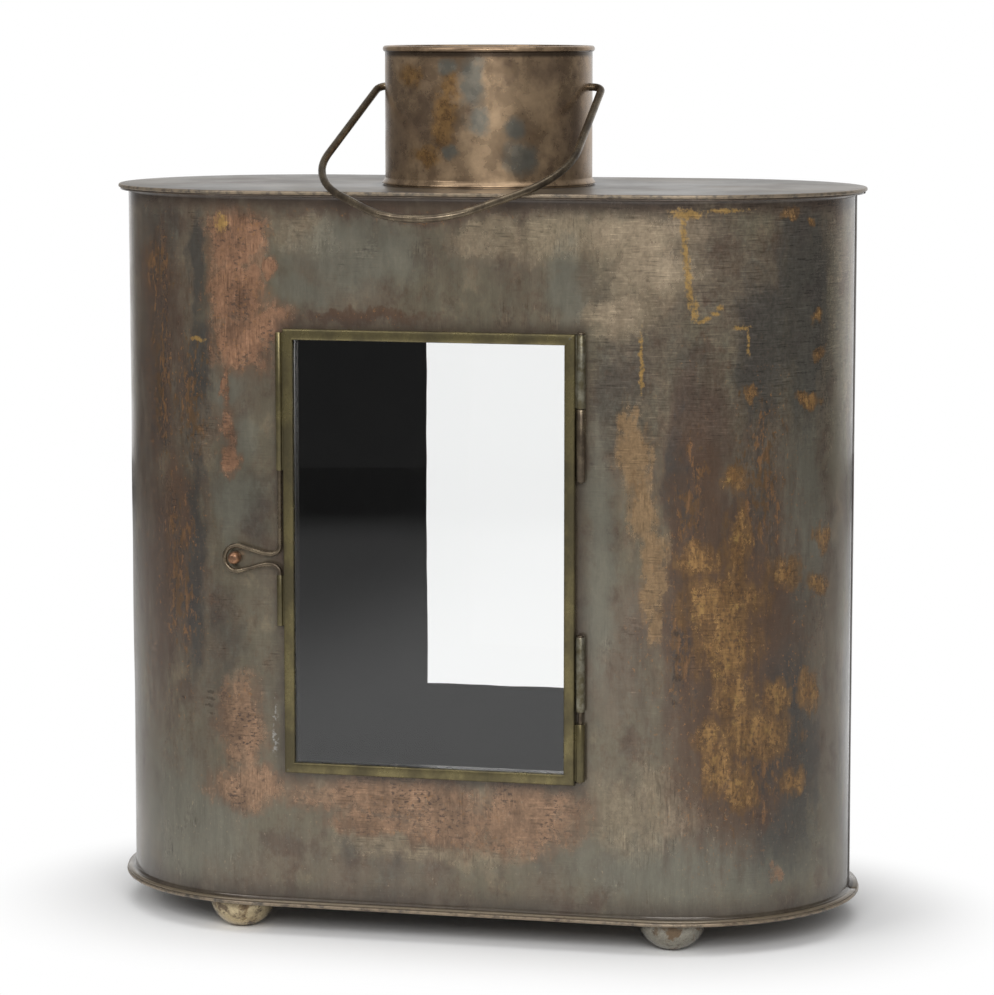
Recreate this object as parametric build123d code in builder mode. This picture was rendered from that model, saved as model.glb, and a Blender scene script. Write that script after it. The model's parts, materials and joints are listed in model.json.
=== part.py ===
"""Oval lantern of patinated tin sheet with a hinged glass door, a wire latch, a chimney and a wire bail.

Millimetres. +Z is up, the door faces -Y, and the origin is on the floor under the middle of the body.
"""

import os
from math import asin, atan2, cos, hypot, sin

from build123d import *

# Body: an oval wall of two half sheets, closed by a lid and a base
body_radius = 77.4  # outer radius of the rounded ends, half the wall's depth
body_straight = 166.4  # length of the flat front and of the flat rear
wall_height = 303.5
sheet = 0.8  # tin sheet of the walls and the chimney
flange_reach = 2.8  # how far the wall's turned-out top and bottom edges stand out
seam_gap = 0.6  # line left open between the two half walls
lap_width = 6.0  # strip of the rear wall tucked behind the front wall
lap_clearance = 0.05
lid_thickness = 1.6  # folded edge, two sheets thick
lid_overhang = 4.4
base_thickness = 1.6
base_overhang = 4.1
rim_round = 0.7  # rounding of the lid's and the base's edges

# Feet: pressed half balls, a little squat, with a small worn flat
foot_radius = 14.3
foot_drop = 13.15  # from the ball's middle to its lowest point before the flat
foot_wall = 1.0
foot_flat_depth = 0.35
foot_past_straight = 11.7  # from the end of the flat front to the foot's middle
foot_inset = 14.3  # from the outside of the wall to the foot's middle

# Chimney
chimney_radius = 45.0
chimney_height = 60.0  # from the lid to the top of the rim bead
rim_bead_radius = 1.4
bead_slot_clearance = 0.03
collar_width = 1.3
collar_height = 3.2
collar_clearance = 0.03
vent_lip = 4.0  # ledge of the lid inside the chimney

# Bail: a hand-bent wire, a little wider on its left side
bail_wire_radius = 1.65
bail_pivot_height = 42.25  # above the lid
bail_bore_clearance = 0.08
bail_rest_gap = 0.3  # between the wire and the lid's edge
bail_hook_inset = 6.5  # from the chimney's outside to the turned end inside it
bail_hook_length = 6.5
bail_hook_bend = 2.6
bail_arm_left = 4.2  # from the chimney's outside to the arm, at the pivot
bail_arm_right = 5.3
bail_arm_bend = 4.0
bail_shoulder_left = 14.2  # from the chimney's outside to the corner of each shoulder
bail_shoulder_right = 5.9
bail_shoulder_drop_left = 7.0  # from the lid's edge back to that corner
bail_shoulder_drop_right = 11.9
bail_tip_shift = 5.3  # the tip lies this far left of the middle
bail_tip_drop = 37.1  # from the lid's edge out to the tip's corner
bail_shoulder_bend_left = 41.5
bail_shoulder_bend_right = 52.0
bail_tip_bend = 37.0

# Door: four mitred channels around a pane
door_width = 126.3
door_height = 190.0
door_shift = 7.05  # the door's middle lies this far left of the body's
door_middle_height = 152.2  # from the top of the base to the middle of the door
door_gap = 0.3  # between the wall and the back of the frame
frame_face = 4.6
frame_lip = 0.9  # wall of the channel in front of and behind the pane
frame_round = 0.4
glass_thickness = 2.0
glass_play = 0.1  # on each face of a pane
glass_seat = 3.0  # how far a pane runs into its channel
glass_edge_play = 0.3
jamb_depth = 7.4
jamb_margin = 0.6  # the wall's opening is wider than the sight by this on each side

# Hinges
hinge_stand_off = 2.5  # from the wall to the hinge line
hinge_side_gap = 0.3  # from the edge of the door to a knuckle
knuckle_radius = 2.0
knuckle_web = 1.6
pin_radius = 0.9
pin_running_clearance = 0.06
pin_press_clearance = 0.01
pin_head_radius = 1.7
pin_head_height = 1.0
pin_head_gap = 0.2
pin_tail = 0.6
knuckle_gap = 0.3  # between the two upper knuckles
lower_knuckle_gap = 5.2  # the lower pin shows here
upper_knuckle_inset = 0.2  # from the door's top to its knuckle
lower_knuckle_inset = 1.6  # from the door's bottom to its knuckle
door_knuckle_upper_length = 30.7
door_knuckle_lower_length = 24.6
body_knuckle_upper_length = 30.3
body_knuckle_lower_length = 31.7

# Latch: a wire loop that turns in two tubes on the door's left edge
latch_stand_off = 2.4  # from the wall to the wire
latch_side_gap = 0.4  # from the edge of the door to a tube
latch_wire_radius = 1.0
latch_tube_radius = 1.5
latch_bore_clearance = 0.06
latch_tube_web = 1.2
latch_below_middle = 3.4  # from the middle of the door down to the loop
latch_neck_half_gap = 2.2
latch_neck_reach = 6.9  # from the hinge line of the loop to its neck
latch_loop_reach = 24.6
latch_loop_half_height = 7.2  # to the corners of the loop, outside its arcs
latch_leg_bend = 4.0
latch_neck_bend = 6.0
latch_loop_bend = 5.3
latch_leg_hold = 18.0  # length of each leg inside its tube
latch_upper_tube_inset = 1.6
latch_upper_tube_length = 58.6
latch_lower_tube_drop = 6.6  # from the loop's middle to the lower tube
latch_lower_tube_length = 21.7
stud_radius = 2.7
stud_height = 4.2
stud_round = 1.9
stud_gap = 0.35  # between the stud and the far end of the loop

# Rear opening and its fixed pane
rear_opening_width = 95.6
rear_opening_height = 164.0
rear_frame_margin = 1.5  # from the opening to the inside of the frame

# Levels and places that follow from the sizes above
foot_height = foot_drop - foot_flat_depth
wall_bottom = foot_height + base_thickness
wall_top = wall_bottom + wall_height
lid_top = wall_top + lid_thickness
half_straight = body_straight / 2

chimney_top = lid_top + chimney_height
bead_height = chimney_top - rim_bead_radius
tube_middle_radius = chimney_radius - sheet / 2

frame_depth = 2 * frame_lip + glass_thickness + 2 * glass_play
door_x = -door_shift
door_z = wall_bottom + door_middle_height
door_left = door_x - door_width / 2
door_right = door_x + door_width / 2
door_top = door_z + door_height / 2
door_bottom = door_z - door_height / 2
door_back = body_radius + door_gap
sight_width = door_width - 2 * frame_face
sight_height = door_height - 2 * frame_face
opening_width = sight_width + 2 * jamb_margin
opening_height = sight_height + 2 * jamb_margin

rear_sight_width = rear_opening_width + 2 * rear_frame_margin
rear_sight_height = rear_opening_height + 2 * rear_frame_margin

hinge_x = door_right + hinge_side_gap + knuckle_radius
hinge_y = -(body_radius + hinge_stand_off)

latch_x = door_left - latch_side_gap - latch_tube_radius
latch_plane = body_radius + latch_stand_off
latch_z = door_z - latch_below_middle

# The bail's wire lies just clear of the lid's front edge
rim_reach = body_radius + lid_overhang
rim_distance = hypot(rim_reach, bail_pivot_height)
rest_angle = atan2(bail_pivot_height, rim_reach) - asin((bail_wire_radius + bail_rest_gap) / rim_distance)
bail_pivot_z = lid_top + bail_pivot_height

os.makedirs("parts", exist_ok=True)


def save(part, name):
    """Label a finished piece and write it out."""
    part.label = name
    export_step(part, f"parts/{name}.step")


def wall_ring(outer_radius, inner_radius):
    """Sketch the oval ring between two end radii."""
    SlotCenterToCenter(body_straight, 2 * outer_radius)
    SlotCenterToCenter(body_straight, 2 * inner_radius, mode=Mode.SUBTRACT)


# The whole oval wall with its turned-out top and bottom edges, before it is cut into halves
with BuildPart() as whole_wall:
    with BuildSketch(Plane.XY.offset(wall_bottom)):
        wall_ring(body_radius, body_radius - sheet)
    extrude(amount=wall_height)
    with BuildSketch(Plane.XY.offset(wall_bottom), Plane.XY.offset(wall_top - sheet)):
        wall_ring(body_radius + flange_reach, body_radius - sheet)
    extrude(amount=sheet)

# Front half of the wall, with the door's opening and its turned-in jamb
with BuildPart() as front_shell:
    add(whole_wall.part)
    split(bisect_by=Plane.XZ, keep=Keep.TOP)
    with BuildSketch(Plane.XZ.offset(body_radius - jamb_depth)):
        with Locations((door_x, door_z)):
            Rectangle(opening_width + 2 * sheet, opening_height + 2 * sheet)
    extrude(amount=jamb_depth)
    with BuildSketch(Plane.XZ.offset(body_radius - jamb_depth)):
        with Locations((door_x, door_z)):
            Rectangle(opening_width, opening_height)
    extrude(amount=jamb_depth, mode=Mode.SUBTRACT)
save(front_shell.part, "front_shell")

# Rear half of the wall, with the rear opening and a strip at each end tucked behind the front half
lap_outer = body_radius - sheet - lap_clearance
lap_inner = lap_outer - sheet
with BuildPart() as rear_shell:
    add(whole_wall.part)
    split(bisect_by=Plane.XZ.offset(-seam_gap), keep=Keep.BOTTOM)
    with BuildSketch(Plane.XY.offset(wall_bottom)):
        wall_ring(lap_outer, lap_inner)
        with Locations((0, (seam_gap + sheet - lap_width) / 2)):
            Rectangle(body_straight + 2 * body_radius, lap_width + seam_gap + sheet, mode=Mode.INTERSECT)
    extrude(amount=wall_height)
    with BuildSketch(Plane.XY.offset(wall_bottom)):
        wall_ring(body_radius, lap_inner)
        with Locations((0, seam_gap + sheet / 2)):
            Rectangle(body_straight + 2 * body_radius, sheet, mode=Mode.INTERSECT)
    extrude(amount=wall_height)
    with BuildSketch(Plane.XZ.offset(-body_radius)):
        with Locations((0, door_z)):
            Rectangle(rear_opening_width, rear_opening_height)
    extrude(amount=sheet, mode=Mode.SUBTRACT)
save(rear_shell.part, "rear_shell")


# Base plate, which is also the floor for the candles
with BuildPart() as base_plate:
    with BuildSketch(Plane.XY.offset(foot_height)):
        SlotCenterToCenter(body_straight, 2 * (body_radius + base_overhang))
    extrude(amount=base_thickness)
    base_rims = base_plate.edges().group_by(Axis.Z)
    fillet(base_rims[0] + base_rims[-1], min(rim_round, 0.45 * base_thickness))
save(base_plate.part, "base_plate")

# Lid, with the vent under the chimney
with BuildPart() as lid_plate:
    with BuildSketch(Plane.XY.offset(wall_top)):
        SlotCenterToCenter(body_straight, 2 * (body_radius + lid_overhang))
    extrude(amount=lid_thickness)
    lid_rims = lid_plate.edges().group_by(Axis.Z)
    fillet(lid_rims[0] + lid_rims[-1], min(rim_round, 0.45 * lid_thickness))
    with BuildSketch(Plane.XY.offset(wall_top)):
        Circle(chimney_radius - sheet - vent_lip)
    extrude(amount=lid_thickness, mode=Mode.SUBTRACT)
save(lid_plate.part, "lid_plate")

# Feet
for end, side_x in (("left", -1), ("right", 1)):
    for face, side_y in (("front", -1), ("rear", 1)):
        foot_x = side_x * (half_straight + foot_past_straight)
        foot_y = side_y * (body_radius - foot_inset)
        with BuildPart() as foot:
            with BuildSketch(Plane((foot_x, foot_y, foot_height), x_dir=(1, 0, 0), z_dir=(0, -1, 0))):
                Ellipse(foot_radius, foot_drop)
                Ellipse(foot_radius - foot_wall, foot_drop - foot_wall, mode=Mode.SUBTRACT)
                Rectangle(foot_radius, foot_height, align=(Align.MIN, Align.MAX), mode=Mode.INTERSECT)
            revolve(axis=Axis((foot_x, foot_y, 0), (0, 0, 1)))
        save(foot.part, f"foot_{face}_{end}")

# Chimney tube, with the two holes for the bail
with BuildPart() as chimney_tube:
    with BuildSketch(Plane.XY.offset(lid_top)):
        Circle(chimney_radius)
        Circle(chimney_radius - sheet, mode=Mode.SUBTRACT)
    extrude(amount=bead_height - lid_top)
    with BuildSketch(Plane.YZ):
        with Locations((0, bail_pivot_z)):
            Circle(bail_wire_radius + bail_bore_clearance)
    extrude(amount=chimney_radius, both=True, mode=Mode.SUBTRACT)
save(chimney_tube.part, "chimney_tube")

# Bead folded over the chimney's top edge
with BuildPart() as chimney_rim:
    with BuildSketch(Plane.XZ):
        with Locations((tube_middle_radius, bead_height)):
            Circle(rim_bead_radius)
            Rectangle(
                sheet + 2 * bead_slot_clearance,
                rim_bead_radius,
                align=(Align.CENTER, Align.MAX),
                mode=Mode.SUBTRACT,
            )
    revolve(axis=Axis.Z)
save(chimney_rim.part, "chimney_rim")

# Collar around the chimney's foot
with BuildPart() as chimney_collar:
    with BuildSketch(Plane.XY.offset(lid_top)):
        Circle(chimney_radius + collar_clearance + collar_width)
        Circle(chimney_radius + collar_clearance, mode=Mode.SUBTRACT)
    extrude(amount=collar_height)
    collar_top = chimney_collar.edges().group_by(Axis.Z)[-1].sort_by(SortBy.RADIUS)[-1]
    fillet(collar_top, 0.8 * collar_width)
save(chimney_collar.part, "chimney_collar")

# Bail, drawn in its own plane: along X, and out from the pivot towards the lid's front edge
bail_plane = Plane(
    (0, 0, bail_pivot_z),
    x_dir=(1, 0, 0),
    z_dir=(0, sin(rest_angle), -cos(rest_angle)),
)
hook_x = chimney_radius - bail_hook_inset
arm_left_x = chimney_radius + bail_arm_left
arm_right_x = chimney_radius + bail_arm_right
with BuildPart() as bail_handle:
    with BuildLine(bail_plane) as bail_path:
        FilletPolyline(
            (-hook_x, bail_hook_length),
            (-hook_x, 0),
            (-arm_left_x, 0),
            (-chimney_radius - bail_shoulder_left, rim_distance - bail_shoulder_drop_left),
            (-bail_tip_shift, rim_distance + bail_tip_drop),
            (chimney_radius + bail_shoulder_right, rim_distance - bail_shoulder_drop_right),
            (arm_right_x, 0),
            (hook_x, 0),
            (hook_x, bail_hook_length),
            radius=[
                bail_hook_bend,
                bail_arm_bend,
                bail_shoulder_bend_left,
                bail_tip_bend,
                bail_shoulder_bend_right,
                bail_arm_bend,
                bail_hook_bend,
            ],
        )
    with BuildSketch(Plane(bail_path.line @ 0, z_dir=bail_path.line % 0)):
        Circle(bail_wire_radius)
    sweep()
save(bail_handle.part, "bail_handle")


def frame_bars(prefix, middle_x, sight, back, outward, names):
    """Make the four mitred channels around a sight opening and save them."""
    inner_x, inner_z = sight[0] / 2, sight[1] / 2
    outer_x, outer_z = inner_x + frame_face, inner_z + frame_face
    outlines = {
        "top": [(-outer_x, outer_z), (outer_x, outer_z), (inner_x, inner_z), (-inner_x, inner_z)],
        "bottom": [(-outer_x, -outer_z), (outer_x, -outer_z), (inner_x, -inner_z), (-inner_x, -inner_z)],
        "left": [(-outer_x, -outer_z), (-outer_x, outer_z), (-inner_x, inner_z), (-inner_x, -inner_z)],
        "right": [(outer_x, -outer_z), (outer_x, outer_z), (inner_x, inner_z), (inner_x, -inner_z)],
    }
    for side, outline in outlines.items():
        length_axis = Axis.X if side in ("top", "bottom") else Axis.Z
        with BuildPart() as bar:
            with BuildSketch(Plane.XZ.offset(back)):
                with Locations((middle_x, door_z)):
                    Polygon(*outline, align=None)
            extrude(amount=outward * frame_depth)
            with BuildSketch(Plane.XZ.offset(back + outward * frame_lip)):
                with Locations((middle_x, door_z)):
                    Rectangle(
                        sight[0] + 2 * (glass_seat + glass_edge_play),
                        sight[1] + 2 * (glass_seat + glass_edge_play),
                    )
            extrude(amount=outward * (glass_thickness + 2 * glass_play), mode=Mode.SUBTRACT)
            face_edges = bar.edges().filter_by(length_axis).group_by(Axis.Y)[0 if outward > 0 else -1]
            fillet(face_edges, min(frame_round, 0.45 * frame_lip))
        save(bar.part, f"{prefix}_{names[side]}")


def pane(name, middle_x, sight, back, outward):
    """Make and save the pane that sits in the four channels."""
    with BuildPart() as glass:
        with BuildSketch(Plane.XZ.offset(back + outward * (frame_lip + glass_play))):
            with Locations((middle_x, door_z)):
                Rectangle(sight[0] + 2 * glass_seat, sight[1] + 2 * glass_seat)
        extrude(amount=outward * glass_thickness)
    save(glass.part, name)


# Door frame and pane
door_sight = (sight_width, sight_height)
door_names = {"top": "top_rail", "bottom": "bottom_rail", "left": "latch_stile", "right": "hinge_stile"}
frame_bars("door", door_x, door_sight, door_back, 1, door_names)
pane("door_glass", door_x, door_sight, door_back, 1)

# Rear frame and pane, soldered to the outside of the rear wall
rear_sight = (rear_sight_width, rear_sight_height)
rear_names = {"top": "top_rail", "bottom": "bottom_rail", "left": "left_stile", "right": "right_stile"}
frame_bars("rear", 0, rear_sight, -body_radius, -1, rear_names)
pane("rear_glass", 0, rear_sight, -body_radius, -1)

# Hinge knuckles: the door's are soldered to its right edge, the body's to the wall
door_upper_top = door_top - upper_knuckle_inset
door_upper_bottom = door_upper_top - door_knuckle_upper_length
body_upper_top = door_upper_bottom - knuckle_gap
body_upper_bottom = body_upper_top - body_knuckle_upper_length
door_lower_bottom = door_bottom + lower_knuckle_inset
door_lower_top = door_lower_bottom + door_knuckle_lower_length
body_lower_bottom = door_lower_top + lower_knuckle_gap
body_lower_top = body_lower_bottom + body_knuckle_lower_length


def knuckle(name, bottom, length, bore_radius, on_door):
    """Make and save one hinge knuckle with the solder web that holds it."""
    with BuildPart() as tube:
        with BuildSketch(Plane.XY.offset(bottom)):
            with Locations((hinge_x, hinge_y)):
                Circle(knuckle_radius)
                if on_door:
                    Rectangle(hinge_x - door_right, knuckle_web, align=(Align.MAX, Align.CENTER))
                else:
                    Rectangle(knuckle_web, hinge_stand_off, align=(Align.CENTER, Align.MIN))
                Circle(bore_radius, mode=Mode.SUBTRACT)
        extrude(amount=length)
    save(tube.part, name)


running_bore = pin_radius + pin_running_clearance
pressed_bore = pin_radius + pin_press_clearance
knuckle("door_knuckle_upper", door_upper_bottom, door_knuckle_upper_length, running_bore, True)
knuckle("door_knuckle_lower", door_lower_bottom, door_knuckle_lower_length, running_bore, True)
knuckle("body_knuckle_upper", body_upper_bottom, body_knuckle_upper_length, pressed_bore, False)
knuckle("body_knuckle_lower", body_lower_bottom, body_knuckle_lower_length, pressed_bore, False)


def hinge_pin(name, bottom, head_seat):
    """Make and save a pin with a rounded head above its top knuckle."""
    with BuildPart() as pin:
        with BuildSketch(Plane.XY.offset(bottom)):
            with Locations((hinge_x, hinge_y)):
                Circle(pin_radius)
        extrude(amount=head_seat - bottom)
        with BuildSketch(Plane.XY.offset(head_seat)):
            with Locations((hinge_x, hinge_y)):
                Circle(pin_head_radius)
        extrude(amount=pin_head_height)
        fillet(pin.edges().group_by(Axis.Z)[-1], 0.8 * pin_head_height)
    save(pin.part, name)


hinge_pin("hinge_pin_upper", body_upper_bottom - pin_tail, door_upper_top + pin_head_gap)
hinge_pin("hinge_pin_lower", door_lower_bottom - pin_tail, body_lower_top)

# Tubes on the door's left edge that hold the latch
latch_upper_tube_bottom = door_top - latch_upper_tube_inset - latch_upper_tube_length
latch_lower_tube_top = latch_z - latch_lower_tube_drop


def latch_tube(name, bottom, length):
    """Make and save a tube with the solder web that joins it to the door."""
    with BuildPart() as tube:
        with BuildSketch(Plane.XY.offset(bottom)):
            with Locations((latch_x, -latch_plane)):
                Circle(latch_tube_radius)
                Rectangle(door_left - latch_x, latch_tube_web, align=(Align.MIN, Align.CENTER))
                Circle(latch_wire_radius + latch_bore_clearance, mode=Mode.SUBTRACT)
        extrude(amount=length)
    save(tube.part, name)


latch_tube("latch_tube_upper", latch_upper_tube_bottom, latch_upper_tube_length)
latch_tube("latch_tube_lower", latch_lower_tube_top - latch_lower_tube_length, latch_lower_tube_length)

# Latch wire, bent in one plane: two legs on the hinge line, a neck and a round loop
neck_x = latch_x - latch_neck_reach
loop_x = latch_x - latch_loop_reach
with BuildPart() as latch_wire:
    with BuildLine(Plane.XZ.offset(latch_plane)) as latch_path:
        FilletPolyline(
            (latch_x, latch_upper_tube_bottom + latch_leg_hold),
            (latch_x, latch_z + latch_neck_half_gap),
            (neck_x, latch_z + latch_neck_half_gap),
            (loop_x, latch_z + latch_loop_half_height),
            (loop_x, latch_z - latch_loop_half_height),
            (neck_x, latch_z - latch_neck_half_gap),
            (latch_x, latch_z - latch_neck_half_gap),
            (latch_x, latch_lower_tube_top - latch_leg_hold),
            radius=[
                latch_leg_bend,
                latch_neck_bend,
                latch_loop_bend,
                latch_loop_bend,
                latch_neck_bend,
                latch_leg_bend,
            ],
        )
    with BuildSketch(Plane(latch_path.line @ 0, z_dir=latch_path.line % 0)):
        Circle(latch_wire_radius)
    sweep()
save(latch_wire.part, "latch_wire")

# Stud on the wall, just inside the far end of the loop
stud_x = loop_x + latch_wire_radius + stud_gap + stud_radius
with BuildPart() as latch_stud:
    with BuildSketch(Plane.XZ.offset(body_radius)):
        with Locations((stud_x, latch_z)):
            Circle(stud_radius)
    extrude(amount=stud_height)
    fillet(latch_stud.edges().group_by(Axis.Y)[0], min(stud_round, 0.8 * stud_radius))
save(latch_stud.part, "latch_stud")
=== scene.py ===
"""Oval patinated lantern: the fine form and the finish of its pieces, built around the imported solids.

Metres. +Z is up and the door faces -Y. Each piece takes its place from the boxes of the solids that it
stands for.
"""

import json
import math

import bmesh
import bpy
from bpy.props import FloatProperty, FloatVectorProperty, PointerProperty
from mathutils import Matrix, Vector, noise


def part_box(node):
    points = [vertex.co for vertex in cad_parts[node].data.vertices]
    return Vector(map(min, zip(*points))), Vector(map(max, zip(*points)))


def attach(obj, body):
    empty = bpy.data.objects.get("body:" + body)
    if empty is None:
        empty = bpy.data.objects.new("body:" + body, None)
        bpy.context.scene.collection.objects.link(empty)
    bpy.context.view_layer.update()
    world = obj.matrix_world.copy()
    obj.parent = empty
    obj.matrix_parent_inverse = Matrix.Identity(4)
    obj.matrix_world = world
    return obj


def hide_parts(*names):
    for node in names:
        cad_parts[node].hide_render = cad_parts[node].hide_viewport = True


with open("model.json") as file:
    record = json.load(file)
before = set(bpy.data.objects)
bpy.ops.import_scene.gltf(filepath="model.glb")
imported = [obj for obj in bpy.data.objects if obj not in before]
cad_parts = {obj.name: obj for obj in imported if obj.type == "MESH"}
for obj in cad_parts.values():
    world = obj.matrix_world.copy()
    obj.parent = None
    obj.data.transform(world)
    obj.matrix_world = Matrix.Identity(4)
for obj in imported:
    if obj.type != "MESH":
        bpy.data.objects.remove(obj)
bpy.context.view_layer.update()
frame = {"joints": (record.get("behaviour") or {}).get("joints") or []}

bl_info = {
    "name": "Patinated oval lantern",
    "version": (1, 0, 0),
    "blender": (4, 5, 0),
    "location": "View3D > Sidebar > Lantern",
    "description": "Builds the visible pieces and the finish of an oval sheet-metal lantern",
    "category": "Add Mesh",
}

MM = 0.001
WELD = 0.002 * MM

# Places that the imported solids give
lid_low, lid_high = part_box("lid_plate")
base_low, base_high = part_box("base_plate")
shell_low, shell_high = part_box("front_shell")
chimney_low, chimney_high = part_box("chimney_tube")
bead_low, bead_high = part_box("chimney_rim")
collar_low, collar_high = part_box("chimney_collar")
half_straight = lid_high.x - lid_high.y
wall_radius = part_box("rear_top_rail")[0].y
chimney_radius = chimney_high.x
joint_places = {joint["name"]: Vector(joint["pos_m"]) for joint in frame["joints"]}

# Fineness of the meshes
QUARTER_STEPS = 36
RUN_STEPS = 48
WALL_ROWS = 90
CHIMNEY_STEPS = 128
CHANNEL_STEPS = 40
BARREL_STEPS = 24

# Corners of the bail's wire in its own plane: across, out from the pivot, and bend radius, in millimetres
BAIL_CORNERS = (
    (-38.5, 6.5, 0),
    (-38.5, 0, 2.6),
    (-49.2, 0, 4),
    (-59.2, 85.07, 41.5),
    (-5.3, 129.17, 37),
    (50.9, 80.17, 52),
    (50.3, 0, 4),
    (38.5, 0, 2.6),
    (38.5, 6.5, 0),
)

# Corners of the latch's wire from its hinge point: out to the left, up, and bend radius, in millimetres
LATCH_CORNERS = (
    (0, 56.2, 0),
    (0, 2.2, 4),
    (6.9, 2.2, 6),
    (24.6, 7.2, 5.3),
    (24.6, -7.2, 5.3),
    (6.9, -2.2, 6),
    (0, -2.2, 4),
    (0, -24.6, 0),
)

# Blots of the patina, a few of which are painted highlights and painted shade: middle (x, y, z), half width
# and half height, in millimetres
# The first three tan blots, high on the front right, are partly tan patina and partly a painted highlight
TAN_BLOTS = (
    (80, -77, 301, 20, 12),
    (86, -77, 285, 20, 10),
    (74, -77, 269, 15, 9),
    (46, -77, 302, 16, 10),
    (20, -77, 300, 16, 8),
    (85, -77, 60, 24, 16),
    (-20, -77, 66, 38, 8),
    (-5, -77, 44, 40, 8),
    (-60, -77, 300, 12, 8),
    (40, 77, 296, 26, 12),
    (-50, 77, 44, 50, 16),
    (-130, 60, 280, 20, 20),
)
# The first four pale blots, high on the front right, are partly pale patina and partly a painted highlight
PALE_BLOTS = (
    (79, -77, 303, 15, 8),
    (85, -77, 288, 15, 7),
    (72, -77, 272, 9, 6),
    (101, -75, 306, 9, 6),
    (-22, -77, 66, 34, 6),
    (34, -77, 58, 14, 8),
    (98, -76, 57, 3, 5),
    (-30, 77, 60, 30, 6),
    (60, 77, 290, 14, 8),
)
VERDIGRIS_BLOTS = (
    (-96, -76, 234, 10, 7),
    (-87, -77, 214, 5, 14),
    (-60, -77, 276, 13, 8),
    (-40, -77, 292, 32, 16),
    (-95, -76, 186, 10, 15),
    (51, -77, 282, 7, 16),
    (-120, -68, 45, 34, 30),
    (108, -73, 36, 60, 16),
    (66, -77, 170, 7, 60),
    (148, -43, 190, 12, 50),
    (60, 77, 230, 40, 50),
    (-90, 76, 90, 30, 45),
    (-150, 30, 260, 22, 40),
)
UMBER_BLOTS = (
    (-131, -60, 244, 21, 55),
    (-129, -62, 160, 24, 60),
    (120, -68, 131, 36, 76),
    (107, -73, 220, 20, 30),
    (-44, -77, 265, 30, 2.5),
    (-15, -77, 311, 45, 4),
    (-60, 77, 230, 36, 60),
    (95, 75, 120, 34, 70),
    (150, 30, 180, 26, 90),
    (-155, 20, 120, 22, 60),
)
BLUE_BLACK_BLOTS = (
    (-110, -72, 285, 5, 22),
    (-110, -72, 245, 6, 22),
    (-113, -71, 162, 5, 50),
    (146, -46, 275, 16, 50),
    (140, -52, 80, 20, 46),
    (131, -61, 255, 10, 30),
    (98, -76, 205, 4, 24),
    (20, 77, 285, 30, 20),
    (120, 67, 250, 12, 50),
    (-115, 70, 200, 10, 70),
    (158, 0, 90, 14, 60),
)
RUST_BLOTS = (
    (118, -69, 140, 26, 42),
    (120, -68, 90, 24, 40),
    (106, -74, 180, 12, 40),
    (131, -61, 62, 11, 10),
    (-1, -77, 48, 13, 8),
    (36, -77, 62, 8, 5),
    (-123, -66, 172, 7, 30),
    (-132, -60, 286, 13, 14),
    (-30, -77, 267, 24, 2),
    (-70, 77, 140, 20, 60),
    (120, 67, 150, 20, 60),
)
STREAK_BLOTS = (
    (-123, -66, 172, 5, 27),
    (-120, -68, 150, 9, 40),
    (-140, -53, 110, 4, 24),
    (-114, -71, 229, 9, 32),
    (-106, -74, 183, 2, 9),
    (-132, -60, 286, 14, 16),
    (-130, -61, 235, 12, 40),
    (104, -74, 190, 8, 34),
    (131, -61, 200, 12, 40),
    (100, -75, 130, 8, 34),
    (128, -63, 76, 20, 24),
    (-90, 76, 200, 26, 60),
    (130, 60, 140, 20, 60),
)
COPPER_BLOTS = (
    (-92, -77, 298, 12, 14),
    (-92, -77, 277, 13, 14),
    (-91, -77, 256, 13, 12),
    (-80, -77, 263, 10, 9),
    (-77, -77, 285, 5, 5),
    (-98, -76, 236, 2.2, 8),
    (-96, -76, 219, 4.5, 7),
    (-97, -76, 206, 5, 7),
    (-90, -77, 91, 10, 17),
    (-87, -77, 63, 18, 9),
    (-21, -77, 63, 40, 8),
    (-30, -77, 50, 20, 5),
    (2, -77, 52, 20, 9),
    (34, -77, 57, 23, 14),
    (139, -53, 32, 2.7, 4),
    (-30, 77, 262, 22, 12),
    (50, 77, 62, 44, 13),
    (-112, 71, 262, 12, 26),
    (100, 75, 300, 16, 9),
    (-157, -20, 292, 7, 14),
)
BEIGE_BLOTS = (
    (79, -77, 227, 4, 8),
    (83, -77, 210, 7, 14),
    (84, -77, 190, 7, 15),
    (87, -77, 172, 6, 14),
    (89, -77, 155, 5, 14),
    (90, -77, 140, 3.5, 10),
    (60, 77, 200, 9, 40),
)
OCHRE_BLOTS = (
    (124, -66, 172, 6, 15),
    (117, -70, 149, 15, 11),
    (107, -74, 168, 9, 6),
    (119, -69, 130, 12, 15),
    (122, -67, 108, 9, 12),
    (111, -72, 92, 5, 8),
    (130, -61, 93, 17, 8),
    (137, -56, 107, 8, 7),
    (115, -71, 81, 7, 11),
    (124, -66, 71, 7, 9),
    (143, -49, 71, 6, 5),
    (140, -52, 160, 8, 7),
    (153, -34, 176, 6, 4),
    (150, -40, 109, 7, 8),
    (152, -35, 155, 6, 4),
    (121, -67, 201, 4, 5),
    (129, -62, 236, 3, 3),
    (148, -43, 233, 6, 2.5),
    (141, -52, 312, 5, 2.5),
    (148, -42, 308, 3, 2),
    (150, -38, 268, 3.5, 2.5),
    (150, -38, 253, 3.5, 2.5),
    (-70, 77, 150, 12, 50),
    (-92, 76, 130, 9, 40),
    (88, 77, 210, 8, 44),
    (110, 72, 170, 12, 30),
    (155, 25, 240, 9, 40),
)
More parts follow.
